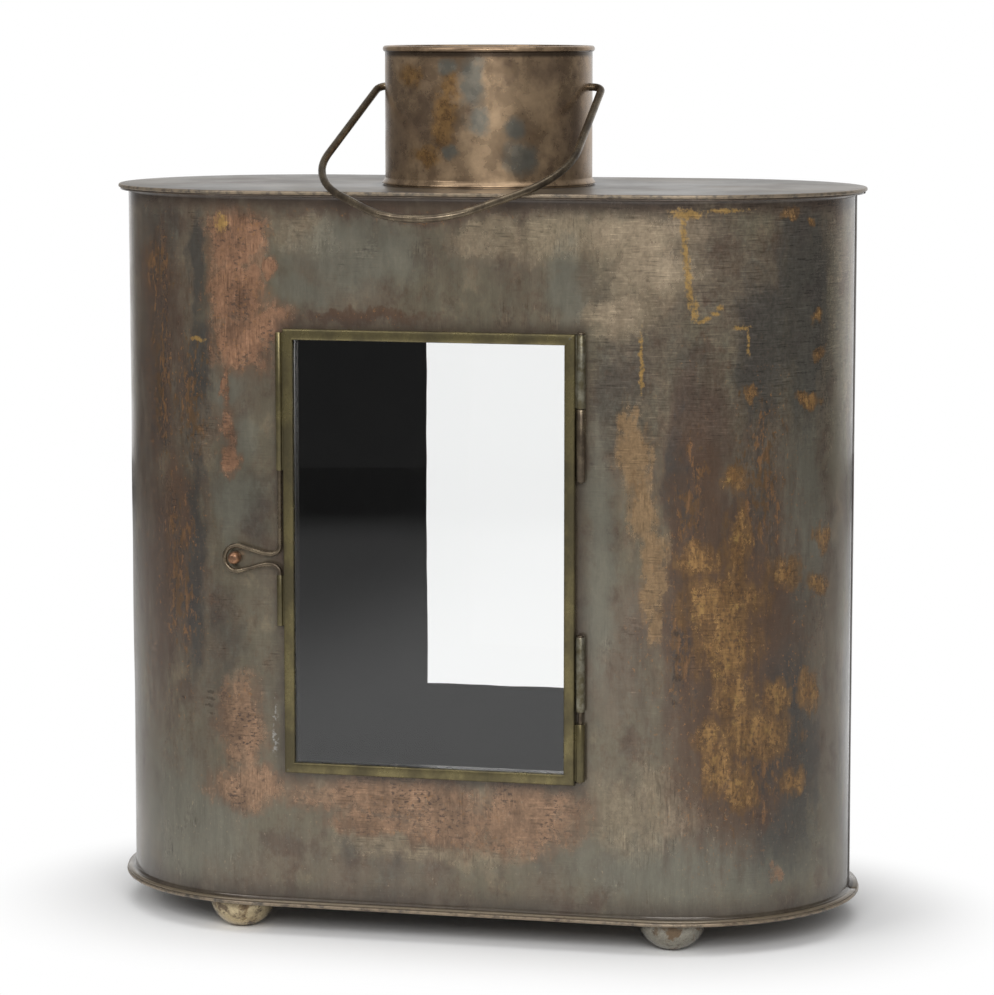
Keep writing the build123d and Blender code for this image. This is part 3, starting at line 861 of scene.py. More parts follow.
def patinated_wall(colours):
    """Copper, golden and blackened patina of the walls, with its blots where they show."""
    material, tree = new_material("patinated_wall")
    point = object_point(tree)
    x, y, z = split(tree, point)
    frayed = frayed_point(tree, point)
    cloud, haze, drift = three_grains(tree, point, 55, detail=6, rough=0.6, stretch=(1, 1, 1.4))
    patch, rub, stain = three_grains(tree, point, 14, detail=7, rough=0.66, stretch=(1, 1, 1.4))
    streak, run, drip = three_grains(tree, point, 5, detail=6, rough=0.68, stretch=(1, 1, 5))
    thread, _, vein = three_grains(tree, point, 2, detail=5, rough=0.72, stretch=(1, 1, 2.6))
    flake_noise = grain(tree, point, 4, detail=6, rough=0.74, stretch=(1, 1, 1.5))["Color"]
    flake, chip, crust = split(tree, flake_noise)
    fine, pit, fleck = three_grains(tree, point, 1.5, detail=4, rough=0.7, stretch=(1, 1, 1.3))
    worm = grain(tree, point, 1.3, detail=3, rough=0.6, stretch=(1.7, 1.7, 1))["Fac"]
    straight = shift_point(tree, point, flake_noise, 3.5)

    # Ground
    colour = mix(tree, fade(tree, cloud, 0.40, 0.60), colours.bronze_brown, colours.grey_green)
    for noise_value, low, high, most, tone in (
        (patch, 0.54, 0.70, 0.50, colours.tan),
        (stain, 0.48, 0.34, 0.60, colours.umber),
        (haze, 0.56, 0.68, 0.50, colours.blue_black),
        (rub, 0.50, 0.68, 0.35, colours.rust),
        (chip, 0.50, 0.70, 0.40, colours.rust),
        (crust, 0.50, 0.70, 0.40, colours.verdigris),
    ):
        colour = mix(tree, fade(tree, noise_value, low, high, 0.0, most), colour, tone)

    # Stains
    warm = flaking(tree, blots(tree, frayed, TAN_BLOTS), rub, crust, 0.65, 2.0, 0.2)
    colour = mix(tree, warm, colour, colours.tan)
    green = worn(tree, blots(tree, frayed, VERDIGRIS_BLOTS), patch, 1.0, 0.15, 0.75, 0.75)
    colour = mix(tree, green, colour, colours.verdigris)
    umber_field = blots(tree, frayed, UMBER_BLOTS)
    umber = worn(tree, umber_field, streak, 1.4, 0.10, 0.80, 0.8)
    colour = mix(tree, umber, colour, colours.umber)
    black = flaking(tree, blots(tree, frayed, BLUE_BLACK_BLOTS), run, crust, 0.75, 2.0, 0.15)
    colour = mix(tree, black, colour, colours.blue_black)
    rust = flaking(tree, blots(tree, frayed, RUST_BLOTS), stain, flake, 0.7, 2.0, 0.25)
    colour = mix(tree, rust, colour, colours.rust)
    # Pale patina, partly a painted highlight high on the front right
    pale = flaking(tree, blots(tree, frayed, PALE_BLOTS), rub, chip, 0.45, 2.6, 0.4)
    colour = mix(tree, pale, colour, colours.tan_light)
    streak_field = blots(tree, frayed, STREAK_BLOTS)
    lines = worn(tree, streak_field, vein, 3.2, 0.62, 0.95, 0.5)
    colour = mix(tree, lines, colour, colours.blue_black)
    streaks = worn(tree, streak_field, thread, 3.4, 0.66, 0.95, 0.65)
    streak_tone = mix(tree, fade(tree, streak, 0.46, 0.60), colours.ochre_dark, colours.orange)
    colour = mix(tree, streaks, colour, streak_tone)

    # Bare copper, darker round its edges and pitted
    copper_field = blots(tree, frayed, COPPER_BLOTS)
    halo = worn(tree, copper_field, streak, 1.4, 0.04, 0.55, 0.5)
    colour = mix(tree, halo, colour, colours.copper_dark)
    copper = flaking(tree, copper_field, patch, flake, 1.0, 2.2, 0.4)
    shade = fade(tree, stain, 0.36, 0.58)
    low_down = mix(tree, shade, colours.rose_dark, colours.rose)
    high_up = mix(tree, shade, colours.copper_dark, colours.copper)
    copper_tone = mix(tree, fade(tree, z, 0.12, 0.19), low_down, high_up)
    pits = both(tree, fade(tree, worm, 0.46, 0.41), fade(tree, rub, 0.44, 0.54, 0.1, 0.95))
    copper_tone = mix(tree, pits, copper_tone, colours.umber)
    colour = mix(tree, copper, colour, copper_tone)

    # Bare bronze: golden flakes, the beige streak and the bright runs
    ochre_field = blots(tree, frayed, OCHRE_BLOTS)
    grit = calc(tree, "MULTIPLY_ADD", fine, 0.35, calc(tree, "MULTIPLY", chip, 0.65))
    halo = worn(tree, ochre_field, drip, 1.8, 0.02, 0.50, 0.6)
    colour = mix(tree, halo, colour, colours.ochre_dark)
    ochre = flaking(tree, ochre_field, drip, grit, 1.0, 3.0, 0.5)
    ochre_tone = mix(tree, fade(tree, streak, 0.36, 0.62), colours.ochre_dark, colours.ochre)
    ochre_tone = mix(tree, fade(tree, fine, 0.48, 0.36, 0.0, 0.6), ochre_tone, colours.umber)
    ochre_tone = mix(tree, fade(tree, flake, 0.54, 0.68, 0.0, 0.7), ochre_tone, colours.gold)
    colour = mix(tree, ochre, colour, ochre_tone)
    beige = flaking(tree, blots(tree, frayed, BEIGE_BLOTS), streak, grit, 0.9, 2.2, 0.3)
    beige_tone = mix(tree, fade(tree, rub, 0.44, 0.34, 0.0, 0.6), colours.beige, colours.ochre_dark)
    colour = mix(tree, beige, colour, beige_tone)
    runs = worn(tree, blots(tree, straight, GOLD_RUNS), fine, 2.0, 0.22, 0.75, 0.9)
    colour = mix(tree, runs, colour, colours.gold)
    spots = worn(tree, blots(tree, straight, SPOT_BLOTS), fine, 2.2, 0.35, 0.70, 0.55)
    colour = mix(tree, spots, colour, colours.grime_and_shade)

    # Flecks, specks, scuffs and painted shade
    bare = either(tree, copper, either(tree, ochre, beige))
    near = either(tree, either(tree, copper_field, ochre_field), either(tree, streak_field, umber_field))
    flecks = both(tree, fade(tree, fleck, 0.60, 0.67), fade(tree, near, 0.02, 0.45, 0.12, 0.9))
    colour = mix(tree, both(tree, flecks, fade(tree, drift, 0.3, 0.6)), colour, colours.orange)
    speckled = either(tree, either(tree, warm, pale), fade(tree, z, 0.092, 0.070, 0.0, 0.4))
    specks = both(tree, fade(tree, pit, 0.62, 0.69, 0.0, 0.6), fade(tree, speckled, 0.1, 0.5))
    colour = mix(tree, specks, colour, colours.tan_light)
    scuffed = worn(tree, blots(tree, straight, SCUFF_BLOTS), fine, 3.4, 0.62, 0.95, 0.8)
    colour = mix(tree, scuffed, colour, colours.scuff)
    # Painted shade in the corners and along the seams, mottled by noise and kept off the golden runs
    painted_shade = both(tree, corner_shade(tree, point), fade(tree, patch, 0.30, 0.56, 0.55, 0.95))
    painted_shade = both(tree, painted_shade, calc(tree, "MULTIPLY_ADD", runs, -0.8, 1.0))
    colour = mix(tree, painted_shade, colour, colours.grime_and_shade)
    # Painted shade along the lap seam at the right end; the strip is also made rougher and less metallic
    seam = both(tree, fade(tree, y, -1.5 * MM, 0.5 * MM), fade(tree, y, 24 * MM, 1 * MM, 0.0, 0.95))
    seam = both(tree, seam, fade(tree, x, 0.10, 0.12))
    seam = both(tree, seam, fade(tree, patch, 0.26, 0.50, 0.6, 1.0))
    colour = mix(tree, seam, colour, colours.grime_and_shade)
    lip = both(
        tree, fade(tree, oval_reach(tree, point), wall_radius + 1.0 * MM, wall_radius + 2.2 * MM, 0.0, 0.5),
        fade(tree, z, shell_low.z + 20 * MM, shell_low.z + 10 * MM),
    )
    colour = mix(tree, lip, colour, colours.tan)

    # Fine strokes and brightness
    hatched = both(tree, fade(tree, x, 0.05, 0.08), fade(tree, z, 0.20, 0.24))
    strokes = scratches(tree, point, either(tree, fade(tree, haze, 0.46, 0.54), hatched))
    rough_parts = either(tree, either(tree, bare, either(tree, warm, pale)), fade(tree, rub, 0.55, 0.69))
    depth = fade(tree, either(tree, rough_parts, hatched), 0.0, 0.6, 0.22, 1.0)
    light = fade(tree, strokes, 0.57, 0.70, 0.0, 0.36)
    dark = fade(tree, strokes, 0.43, 0.30, 0.0, 0.36)
    value = calc(tree, "MULTIPLY_ADD", calc(tree, "SUBTRACT", light, dark), depth, 1.0)
    speckle = both(tree, fade(tree, fine, 0.3, 0.7, -0.18, 0.18), depth)
    value = both(tree, value, calc(tree, "ADD", speckle, 1.0))
    value = both(tree, value, fade(tree, run, 0.3, 0.7, 0.90, 1.10))
    # Painted light: the walls are painted up to 40 % brighter towards the top
    value = both(tree, value, fade(tree, z, 0.03, 0.31, 1.00, 1.40))
    colour = brighten(tree, colour, value)

    gloss = fade(tree, patch, 0.3, 0.7, 0.16, 0.27)
    rough = calc(tree, "MULTIPLY_ADD", either(tree, bare, warm), 0.10, gloss)
    rough = calc(tree, "MULTIPLY_ADD", seam, 0.5, rough)
    metallic = calc(tree, "MULTIPLY_ADD", either(tree, painted_shade, seam), -0.5, 0.62)
    height = calc(tree, "MULTIPLY_ADD", strokes, 0.4, calc(tree, "MULTIPLY", patch, 0.8))
    inputs = {
        "Base Color": colour,
        "Metallic": metallic,
        "Roughness": rough,
        "Coat Weight": 0.2,
        "Coat Roughness": 0.08,
    }
    close_material(tree, inputs, height, 0.07)
    return material


def patinated_lid(colours):
    """Warm grey of the lid and the base, with a painted highlight along the edge and painted shade round the
    chimney's foot.
    """
    material, tree = new_material("patinated_lid")
    point = object_point(tree)
    cloud, stain, drift = three_grains(tree, point, 45, detail=6, rough=0.6)
    fine = grain(tree, point, 3, detail=5, rough=0.7)["Fac"]
    colour = mix(tree, fade(tree, cloud, 0.40, 0.64), colours.lid_grey, colours.bronze_brown)
    colour = mix(tree, fade(tree, stain, 0.54, 0.70, 0.0, 0.6), colour, colours.umber)
    reach = oval_reach(tree, point)
    # Painted highlight along the rounded rim, broken up by fine noise
    edge = both(
        tree, fade(tree, reach, wall_radius + 2.8 * MM, wall_radius + 4.1 * MM), fade(tree, fine, 0.34, 0.54)
    )
    colour = mix(tree, calc(tree, "MULTIPLY", edge, 0.6), colour, colours.tan_light)
    x, y, _ = split(tree, point)
    flat = node(tree, "ShaderNodeCombineXYZ", {0: x, 1: y}).outputs[0]
    from_axis = node(tree, "ShaderNodeVectorMath", {0: flat}, operation="LENGTH").outputs["Value"]
    # Painted shade in a ring round the chimney's foot, where the lid mirrors the chimney
    foot = fade(tree, from_axis, chimney_radius + 9 * MM, chimney_radius + 3 * MM, 0.0, 0.85)
    colour = mix(tree, foot, colour, colours.grime_and_shade)
    colour = brighten(tree, colour, fade(tree, fine, 0.3, 0.7, 0.84, 1.16))
    rough = fade(tree, drift, 0.3, 0.7, 0.30, 0.42)
    inputs = {"Base Color": colour, "Metallic": 0.55, "Roughness": rough, "Specular IOR Level": 0.3}
    close_material(tree, inputs, fine, 0.04)
    return material


def patinated_chimney(colours):
    """Brown, tan and golden patina of the chimney with blue-grey stains, smeared into each other, with a
    painted highlight down its front and painted shade on its sides and under the bead.
    """
    material, tree = new_material("patinated_chimney")
    point = object_point(tree)
    frayed = frayed_point(tree, point, 0.5)
    patch, stain, rub = three_grains(tree, point, 12, detail=6, rough=0.6)
    fine, fleck, pit = three_grains(tree, point, 2, detail=5, rough=0.7)
    colour = mix(tree, fade(tree, patch, 0.38, 0.66), colours.chimney_brown, colours.chimney_tan)
    # Painted highlight down the front, and tan patina at the rear
    pale = worn(tree, blots(tree, frayed, CHIMNEY_TAN_AND_HIGHLIGHT_BLOTS), rub, 1.4, 0.12, 0.80, 0.75)
    colour = mix(tree, pale, colour, colours.chimney_tan)
    # Dark patina, with painted shade on the chimney's sides
    dark = worn(tree, blots(tree, frayed, CHIMNEY_DARK_AND_SHADE_BLOTS), stain, 1.2, 0.12, 0.85, 0.5)
    dark = either(tree, dark, fade(tree, stain, 0.44, 0.32, 0.0, 0.4))
    colour = mix(tree, dark, colour, colours.umber)
    flake, chip, crust = three_grains(tree, point, 4, detail=6, rough=0.74)
    gold = flaking(tree, blots(tree, frayed, CHIMNEY_OCHRE_BLOTS), rub, flake, 0.9, 2.2, 0.35)
    gold_tone = mix(tree, fade(tree, chip, 0.38, 0.60), colours.ochre_dark, colours.ochre)
    colour = mix(tree, gold, colour, gold_tone)
    blue = flaking(tree, blots(tree, frayed, CHIMNEY_BLUE_BLOTS), stain, crust, 0.75, 2.4, 0.2)
    colour = mix(tree, blue, colour, colours.blue_grey)
    colour = mix(tree, fade(tree, pit, 0.36, 0.30, 0.0, 0.4), colour, colours.grime_and_shade)
    colour = mix(tree, fade(tree, fleck, 0.66, 0.72, 0.0, 0.4), colour, colours.orange)
    z = split(tree, point)[2]
    # Painted shade under the bead; the bead itself stays clean
    painted_shade = fade(tree, z, bead_low.z - 2.6 * MM, bead_low.z - 0.8 * MM, 0.0, 0.85)
    painted_shade = both(tree, painted_shade, fade(tree, z, bead_low.z + 1.0 * MM, bead_low.z + 0.4 * MM))
    colour = mix(tree, painted_shade, colour, colours.grime_and_shade)
    colour = brighten(tree, colour, fade(tree, fine, 0.3, 0.7, 1.10, 1.32))
    rough = fade(tree, patch, 0.3, 0.7, 0.22, 0.34)
    close_material(tree, {"Base Color": colour, "Metallic": 0.72, "Roughness": rough}, patch, 0.10)
    return material


def two_tone(name, light, dark, wave, stretch, metallic, rough, depth):
    """Stained metal: a light and a dark tone clouded together, with fine mottling."""
    material, tree = new_material(name)
    point = object_point(tree)
    cloud = grain(tree, point, wave, detail=5, rough=0.65, stretch=stretch)["Fac"]
    fine = grain(tree, point, 1.2, detail=4, rough=0.7)["Fac"]
    colour = mix(tree, fade(tree, cloud, 0.36, 0.66), dark, light)
    colour = brighten(tree, colour, fade(tree, fine, 0.3, 0.7, 0.92, 1.08))
    roughness = fade(tree, cloud, 0.3, 0.7, rough + 0.05, rough - 0.05)
    close_material(tree, {"Base Color": colour, "Metallic": metallic, "Roughness": roughness}, fine, depth)
    return material


def foot_metal(colours):
    """Feet: brassy on the left, greyer towards the right, with painted shade at the top under the base."""
    material, tree = new_material("foot_metal")
    point = object_point(tree)
    x, _, z = split(tree, point)
    cloud, stain, _ = three_grains(tree, point, 8, detail=6, rough=0.64)
    fine = grain(tree, point, 1.2, detail=4, rough=0.7)["Fac"]
    colour = mix(tree, fade(tree, x, -0.05, 0.05), colours.foot, colours.foot_dark)
    colour = mix(tree, fade(tree, cloud, 0.50, 0.62, 0.0, 0.75), colour, colours.ochre_dark)
    colour = mix(tree, fade(tree, stain, 0.54, 0.66, 0.0, 0.8), colour, colours.umber)
    colour = mix(tree, fade(tree, fine, 0.38, 0.30, 0.0, 0.7), colour, colours.grime_and_shade)
    # Painted shade at the top of the feet, under the base
    colour = mix(tree, fade(tree, z, base_low.z - 4 * MM, base_low.z, 0.0, 0.7), colour, colours.grime_and_shade)
    colour = brighten(tree, colour, fade(tree, fine, 0.3, 0.7, 0.86, 1.14))
    rough = fade(tree, cloud, 0.3, 0.7, 0.20, 0.32)
    close_material(tree, {"Base Color": colour, "Metallic": 0.85, "Roughness": rough}, cloud, 0.15)
    return material


def sooty(name, light, dark, wave):
    """Dull black of the inside."""
    material, tree = new_material(name)
    point = object_point(tree)
    cloud = grain(tree, point, wave, detail=5, rough=0.65)["Fac"]
    colour = mix(tree, fade(tree, cloud, 0.36, 0.66), dark, light)
    rough = fade(tree, cloud, 0.3, 0.7, 0.7, 0.85)
    close_material(tree, {"Base Color": colour, "Roughness": rough, "Specular IOR Level": 0.12})
    return material


def window_pane(colours):
    """Thin clear pane."""
    material, tree = new_material("window_pane")
    point = object_point(tree)
    smear = grain(tree, point, 22, detail=5, rough=0.7)["Fac"]
    inputs = {
        "Base Color": colours.glass,
        "Roughness": fade(tree, smear, 0.45, 0.75, 0.0, 0.02),
        "IOR": 1.5,
        "Transmission Weight": 1.0,
    }
    close_material(tree, inputs)
    return material


def finish(name):
    """The named finish, made the first time it is asked for."""
    if name in bpy.data.materials:
        return bpy.data.materials[name]
    c = bpy.context.scene.lantern_colours
    even = (1, 1, 1)
    makers = {
        "patinated_wall": lambda: patinated_wall(c),
        "patinated_lid": lambda: patinated_lid(c),
        "patinated_chimney": lambda: patinated_chimney(c),
        "foot_metal": lambda: foot_metal(c),
        "window_pane": lambda: window_pane(c),
        "sooty_inside": lambda: sooty(name, c.soot, c.soot_dark, 25),
        "inner_floor": lambda: sooty(name, c.floor_inside, c.soot, 60),
        "aged_brass": lambda: two_tone(name, c.brass, c.brass_dark, 16, (1, 1, 1.5), 0.8, 0.30, 0.03),
        "bent_wire": lambda: two_tone(name, c.wire, c.wire_dark, 7, even, 0.8, 0.30, 0.04),
        "stud_copper": lambda: two_tone(name, c.stud, c.copper_dark, 2, even, 0.7, 0.34, 0.05),
        "grey_solder": lambda: two_tone(name, c.solder, c.brass_dark, 4, even, 0.75, 0.34, 0.06),
    }
    return makers[name]()


# Pieces


def sizes_now():
    """The sizes that the sidebar holds."""
    return bpy.context.scene.lantern_sizes


def wall_wire(bm, sizes):
    """Outer face of the wall at the right end: a flange, the upright and a flange."""
    end = half_straight + wall_radius
    low = shell_low.z + sizes.sheet
    high = shell_high.z - sizes.sheet
    reach = end + sizes.flange_reach
    corners = wire(bm, [(reach, 0, low), (end, 0, low), (end, 0, high), (reach, 0, high)])
    round_corners(bm, corners[1:3], sizes.flange_bend)
    upright = max(bm.edges, key=lambda edge: edge.calc_length())
    bmesh.ops.subdivide_edges(bm, edges=[upright], cuts=WALL_ROWS)


def cut_window(bm, low, high):
    """Cut a rectangular window in a flat wall and return the edges around it."""
    for axis, value in ((0, low.x), (0, high.x), (2, low.z), (2, high.z)):
        across = Vector((0, 0, 0))
        across[axis] = 1
        bmesh.ops.bisect_plane(bm, geom=whole(bm), plane_co=across * value, plane_no=across, dist=WELD)
    inside = []
    for face in bm.faces:
        middle = face.calc_center_median()
        if low.x < middle.x < high.x and low.z < middle.z < high.z:
            inside.append(face)
    bmesh.ops.delete(bm, geom=inside, context="FACES")

    def bounds_window(vert):
        in_width = low.x - WELD < vert.co.x < high.x + WELD
        return in_width and low.z - WELD < vert.co.z < high.z + WELD

    return [edge for edge in bm.edges if edge.is_boundary and all(map(bounds_window, edge.verts))]


def wall_freedom(low, high):
    """How far a point of the wall may wander: not at all along the rims, the seams and the window."""

    def freedom(co):
        to_rim = min(co.z - shell_low.z, shell_high.z - co.z) - 4 * MM
        to_window = max(low.x - co.x, co.x - high.x, low.z - co.z, co.z - high.z) - 9 * MM
        return ease(min(to_rim, to_window, abs(co.y)) / (22 * MM))

    return freedom


def face_outwards(bm, sample_axis, sign):
    """Turn a sheet's faces all one way, out along an axis."""
    bmesh.ops.recalc_face_normals(bm, faces=bm.faces)
    bm.normal_update()
    outermost = max(bm.faces, key=lambda face: abs(face.normal[sample_axis]) * face.calc_area())
    if outermost.normal[sample_axis] * sign < 0:
        bmesh.ops.reverse_faces(bm, faces=bm.faces)


def make_sheet(name, bm, nodes, thickness):
    """Make an open sheet of the wall a piece, sooty inside, whose faces already point outwards."""
    materials = [finish("patinated_wall"), finish("sooty_inside")]
    piece = make_piece(name, bm, materials, "body", nodes, 40, closed=False)
    thicken(piece, thickness, 1)


def opening(node_name, edge):
    """Lowest and highest corner of a wall's opening, an edge inside the box of its pane."""
    low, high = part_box(node_name)
    return Vector((low.x + edge, 0, low.z + edge)), Vector((high.x - edge, 0, high.z - edge))


class LANTERN_OT_front_wall(bpy.types.Operator):
    """Build the front half of the wall with the door's opening"""

    bl_idname = "lantern.front_wall"
    bl_label = "Front wall"

    def execute(self, context):
        sizes = sizes_now()
        low, high = opening("door_glass", sizes.pane_seat - sizes.pane_play - sizes.opening_margin)
        bm = bmesh.new()
        wall_wire(bm, sizes)
        sweep_half(bm, whole(bm), 1, -1)
        window = cut_window(bm, low, high)
        bend_sheet(bm, sizes.dent_depth, sizes.dent_wave, wall_freedom(low, high))
        turned = bmesh.ops.extrude_edge_only(bm, edges=window)["geom"]
        jamb = [item for item in turned if isinstance(item, bmesh.types.BMVert)]
        bmesh.ops.translate(bm, vec=(0, sizes.jamb_depth, 0), verts=jamb)
        round_edges(bm, window, sizes.jamb_bend)
        face_outwards(bm, 1, -1)
        make_sheet("front_wall", bm, ["front_shell"], sizes.sheet)
        return {"FINISHED"}


class LANTERN_OT_rear_wall(bpy.types.Operator):
    """Build the rear half of the wall with its hand-cut opening and its lap strips"""

    bl_idname = "lantern.rear_wall"
    bl_label = "Rear wall"

    def execute(self, context):
        sizes = sizes_now()
        low, high = opening("rear_glass", sizes.pane_seat - sizes.pane_play + sizes.rear_margin)
        bm = bmesh.new()
        wall_wire(bm, sizes)
        sweep_half(bm, whole(bm), 1, 1)
        window = cut_window(bm, low, high)
        bend_sheet(bm, sizes.dent_depth, sizes.dent_wave, wall_freedom(low, high))
        for vert in {vert for side in window for vert in side.verts}:
            spot = vert.co / sizes.cut_wave
            aside = noise.noise(spot)
            upwards = noise.noise(spot + Vector((0, 30, 0)))
            vert.co += Vector((aside, 0, upwards)) * sizes.cut_wander
        bmesh.ops.bisect_plane(
            bm, geom=whole(bm), plane_co=(0, sizes.seam_gap, 0), plane_no=(0, 1, 0), clear_inner=True
        )
        face_outwards(bm, 1, 1)
        make_sheet("rear_wall", bm, ["rear_shell"], sizes.sheet)

        strips = bmesh.new()
        lap_radius = wall_radius - sizes.sheet - sizes.lap_clearance
        back = math.asin((sizes.seam_gap + sizes.sheet) / lap_radius)
        ahead = math.asin(sizes.lap_width / lap_radius)
        for end in (-1, 1):
            middle = (end * half_straight, 0, 0)
            part = bmesh.new()
            wire(part, [(end * (half_straight + lap_radius), 0, z) for z in (shell_low.z, shell_high.z)])
            bmesh.ops.rotate(
                part, cent=middle, matrix=Matrix.Rotation(end * back, 3, "Z"), verts=part.verts
            )
            turn_about(part, whole(part), middle, (0, 0, 1), -end * (back + ahead), 6)
            face_outwards(part, 0, end)
            merge_into(strips, part)
        make_sheet("rear_wall_laps", strips, [], sizes.sheet)
        return {"FINISHED"}


def plate_rim(bm, low, high, overhang, sizes):
    """Rounded rim of a plate, swept round the oval; its inner borders lie inside the wall."""
    inner = half_straight + wall_radius - 2 * sizes.sheet
    outer = half_straight + wall_radius + overhang
    rim = wire(bm, [(inner, 0, high), (outer, 0, high), (outer, 0, low), (inner, 0, low)])
    round_corners(bm, rim[1:3], sizes.rim_round)
    sweep_oval(bm)


class LANTERN_OT_plates(bpy.types.Operator):
    """Build the lid with its vent and the base plate"""

    bl_idname = "lantern.plates"
    bl_label = "Lid and base"

    def execute(self, context):
        sizes = sizes_now()
        inside = wall_radius
        bm = bmesh.new()
        plate_rim(bm, base_low.z, base_high.z, base_high.y - wall_radius, sizes)
        bmesh.ops.edgeloop_fill(bm, edges=open_loop(bm, base_low.z, inside))
        bmesh.ops.edgeloop_fill(bm, edges=open_loop(bm, base_high.z, inside), mat_nr=1)
        materials = [finish("patinated_lid"), finish("inner_floor")]
        make_piece("base_tray", bm, materials, "body", ["base_plate"])

        bm = bmesh.new()
        plate_rim(bm, lid_low.z, lid_high.z, lid_high.y - wall_radius, sizes)
        steps = 4 * QUARTER_STEPS + 2 * RUN_STEPS
        for height, index in ((lid_low.z, 1), (lid_high.z, 0)):
            border = open_loop(bm, height, inside)
            vent = bmesh.ops.create_circle(bm, segments=steps, radius=sizes.vent_radius)["verts"]
            bmesh.ops.translate(bm, vec=(0, 0, height), verts=vent)
            ring = list({edge for vert in vent for edge in vert.link_edges})
            for face in bmesh.ops.bridge_loops(bm, edges=border + ring)["faces"]:
                face.material_index = index
        mouth = [edge for edge in bm.edges if edge.is_boundary]
        bmesh.ops.bridge_loops(bm, edges=mouth)
        materials = [finish("patinated_lid"), finish("sooty_inside")]
        make_piece("lid_top", bm, materials, "body", ["lid_plate"])
        return {"FINISHED"}


def foot_ball(name, sizes):
    """Build one pressed half-ball foot, worn flat below and open above."""
    low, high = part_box(name)
    middle = (low + high) / 2
    radius = (high.x - low.x) / 2
    drop = high.z - low.z + sizes.foot_flat
    bm = bmesh.new()
    bmesh.ops.create_uvsphere(bm, u_segments=56, v_segments=40, radius=radius)
    bmesh.ops.scale(bm, vec=(1, 1, drop / radius), verts=bm.verts)
    bmesh.ops.translate(bm, vec=(middle.x, middle.y, high.z), verts=bm.verts)
    bmesh.ops.bisect_plane(bm, geom=whole(bm), plane_co=high, plane_no=(0, 0, 1), clear_outer=True)
    bmesh.ops.bisect_plane(
        bm, geom=whole(bm), plane_co=(0, 0, low.z), plane_no=(0, 0, 1), clear_inner=True
    )
    worn_edge = [edge for edge in bm.edges if edge.is_boundary and edge.verts[0].co.z < high.z / 2]
    bmesh.ops.edgeloop_fill(bm, edges=worn_edge)

    def freedom(co):
        return ease(min(co.z - low.z, high.z - co.z) / (3 * MM))

    bend_sheet(bm, sizes.foot_dent, sizes.foot_dent_wave, freedom)
    piece = make_piece(f"{name}_ball", bm, [finish("foot_metal")], "body", [name])
    thicken(piece, sizes.foot_wall)


class LANTERN_OT_feet(bpy.types.Operator):
    """Build the four pressed half-ball feet"""

    bl_idname = "lantern.feet"
    bl_label = "Feet"

    def execute(self, context):
        for face in ("front", "rear"):
            for end in ("left", "right"):
                foot_ball(f"foot_{face}_{end}", sizes_now())
        return {"FINISHED"}


class LANTERN_OT_chimney(bpy.types.Operator):
    """Build the chimney tube with the bail's holes, its bead and its flared collar"""

    bl_idname = "lantern.chimney"
    bl_label = "Chimney"

    def execute(self, context):
        sizes = sizes_now()
        radius, low, high = chimney_radius, chimney_low.z, chimney_high.z
        inner = radius - sizes.sheet
        bm = bmesh.new()
        wire(bm, [(inner, 0, low), (radius, 0, low), (radius, 0, high), (inner, 0, high)], closed=True)
        uprights = [edge for edge in bm.edges if abs(edge.verts[0].co.x - edge.verts[1].co.x) < WELD]
        bmesh.ops.subdivide_edges(bm, edges=uprights, cuts=20)
        revolve(bm, steps=CHIMNEY_STEPS)
        for face in bm.faces:
            if face.calc_center_median().xy.length < radius - sizes.sheet / 2:
                face.material_index = 1
        materials = [finish("patinated_chimney"), finish("sooty_inside")]
        tube = make_piece("chimney_pipe", bm, materials, "body", ["chimney_tube"])
        bore_holes(tube, sizes.bail_bore, joint_places["bail_swing"])

        bm = bmesh.new()
        bead_radius = (bead_high.z - bead_low.z) / 2
        bead = bmesh.ops.create_circle(bm, segments=20, radius=bead_radius)["verts"]
        upright = Matrix.Translation((bead_high.x - bead_radius, 0, bead_high.z - bead_radius))
        bmesh.ops.transform(bm, matrix=upright @ Matrix.Rotation(math.pi / 2, 4, "X"), verts=bead)
        revolve(bm, steps=CHIMNEY_STEPS)
        make_piece(
            "chimney_bead", bm, [finish("patinated_chimney")], "body", ["chimney_rim"]
        )

        bm = bmesh.new()
        step = sizes.collar_step
        outer = collar_high.x
        foot, top = collar_low.z, collar_high.z
        heel, neck = radius + sizes.collar_foot, radius + sizes.collar_neck
        corners = wire(
            bm,
            [
                (radius, 0, foot), (heel, 0, foot), (heel, 0, foot + step), (outer, 0, foot + step),
                (outer, 0, foot + 2 * step), (neck, 0, top - step), (radius, 0, top),
            ],
            closed=True,
        )
        round_corners(bm, corners[3:6], sizes.collar_foot, 4)
        revolve(bm, steps=CHIMNEY_STEPS)
        make_piece(
            "chimney_flare", bm, [finish("patinated_chimney")], "body", ["chimney_collar"]
        )
        return {"FINISHED"}


def bore_holes(tube, radius, place):
    """Cut a round hole right through a piece along X and keep the result as its mesh."""
    bm = bmesh.new()
    bmesh.ops.create_cone(
        bm, cap_ends=True, segments=28, radius1=radius, radius2=radius, depth=4 * chimney_radius
    )
    lay = Matrix.Translation(place) @ Matrix.Rotation(math.pi / 2, 4, "Y")
    bmesh.ops.transform(bm, matrix=lay, verts=bm.verts)
    mesh = bpy.data.meshes.new("bore")
    bm.to_mesh(mesh)
    bm.free()
    drill = bpy.data.objects.new("bore", mesh)
    bpy.context.scene.collection.objects.link(drill)
    cut = tube.modifiers.new("Bore", "BOOLEAN")
    cut.object = drill
    cut.operation = "DIFFERENCE"
    cut.solver = "EXACT"
    graph = bpy.context.evaluated_depsgraph_get()
    bored = bpy.data.meshes.new_from_object(tube.evaluated_get(graph))
    tube.modifiers.remove(cut)
    plain = tube.data
    tube.data = bored
    bpy.data.meshes.remove(plain)
    bpy.data.objects.remove(drill)
    bpy.data.meshes.remove(mesh)


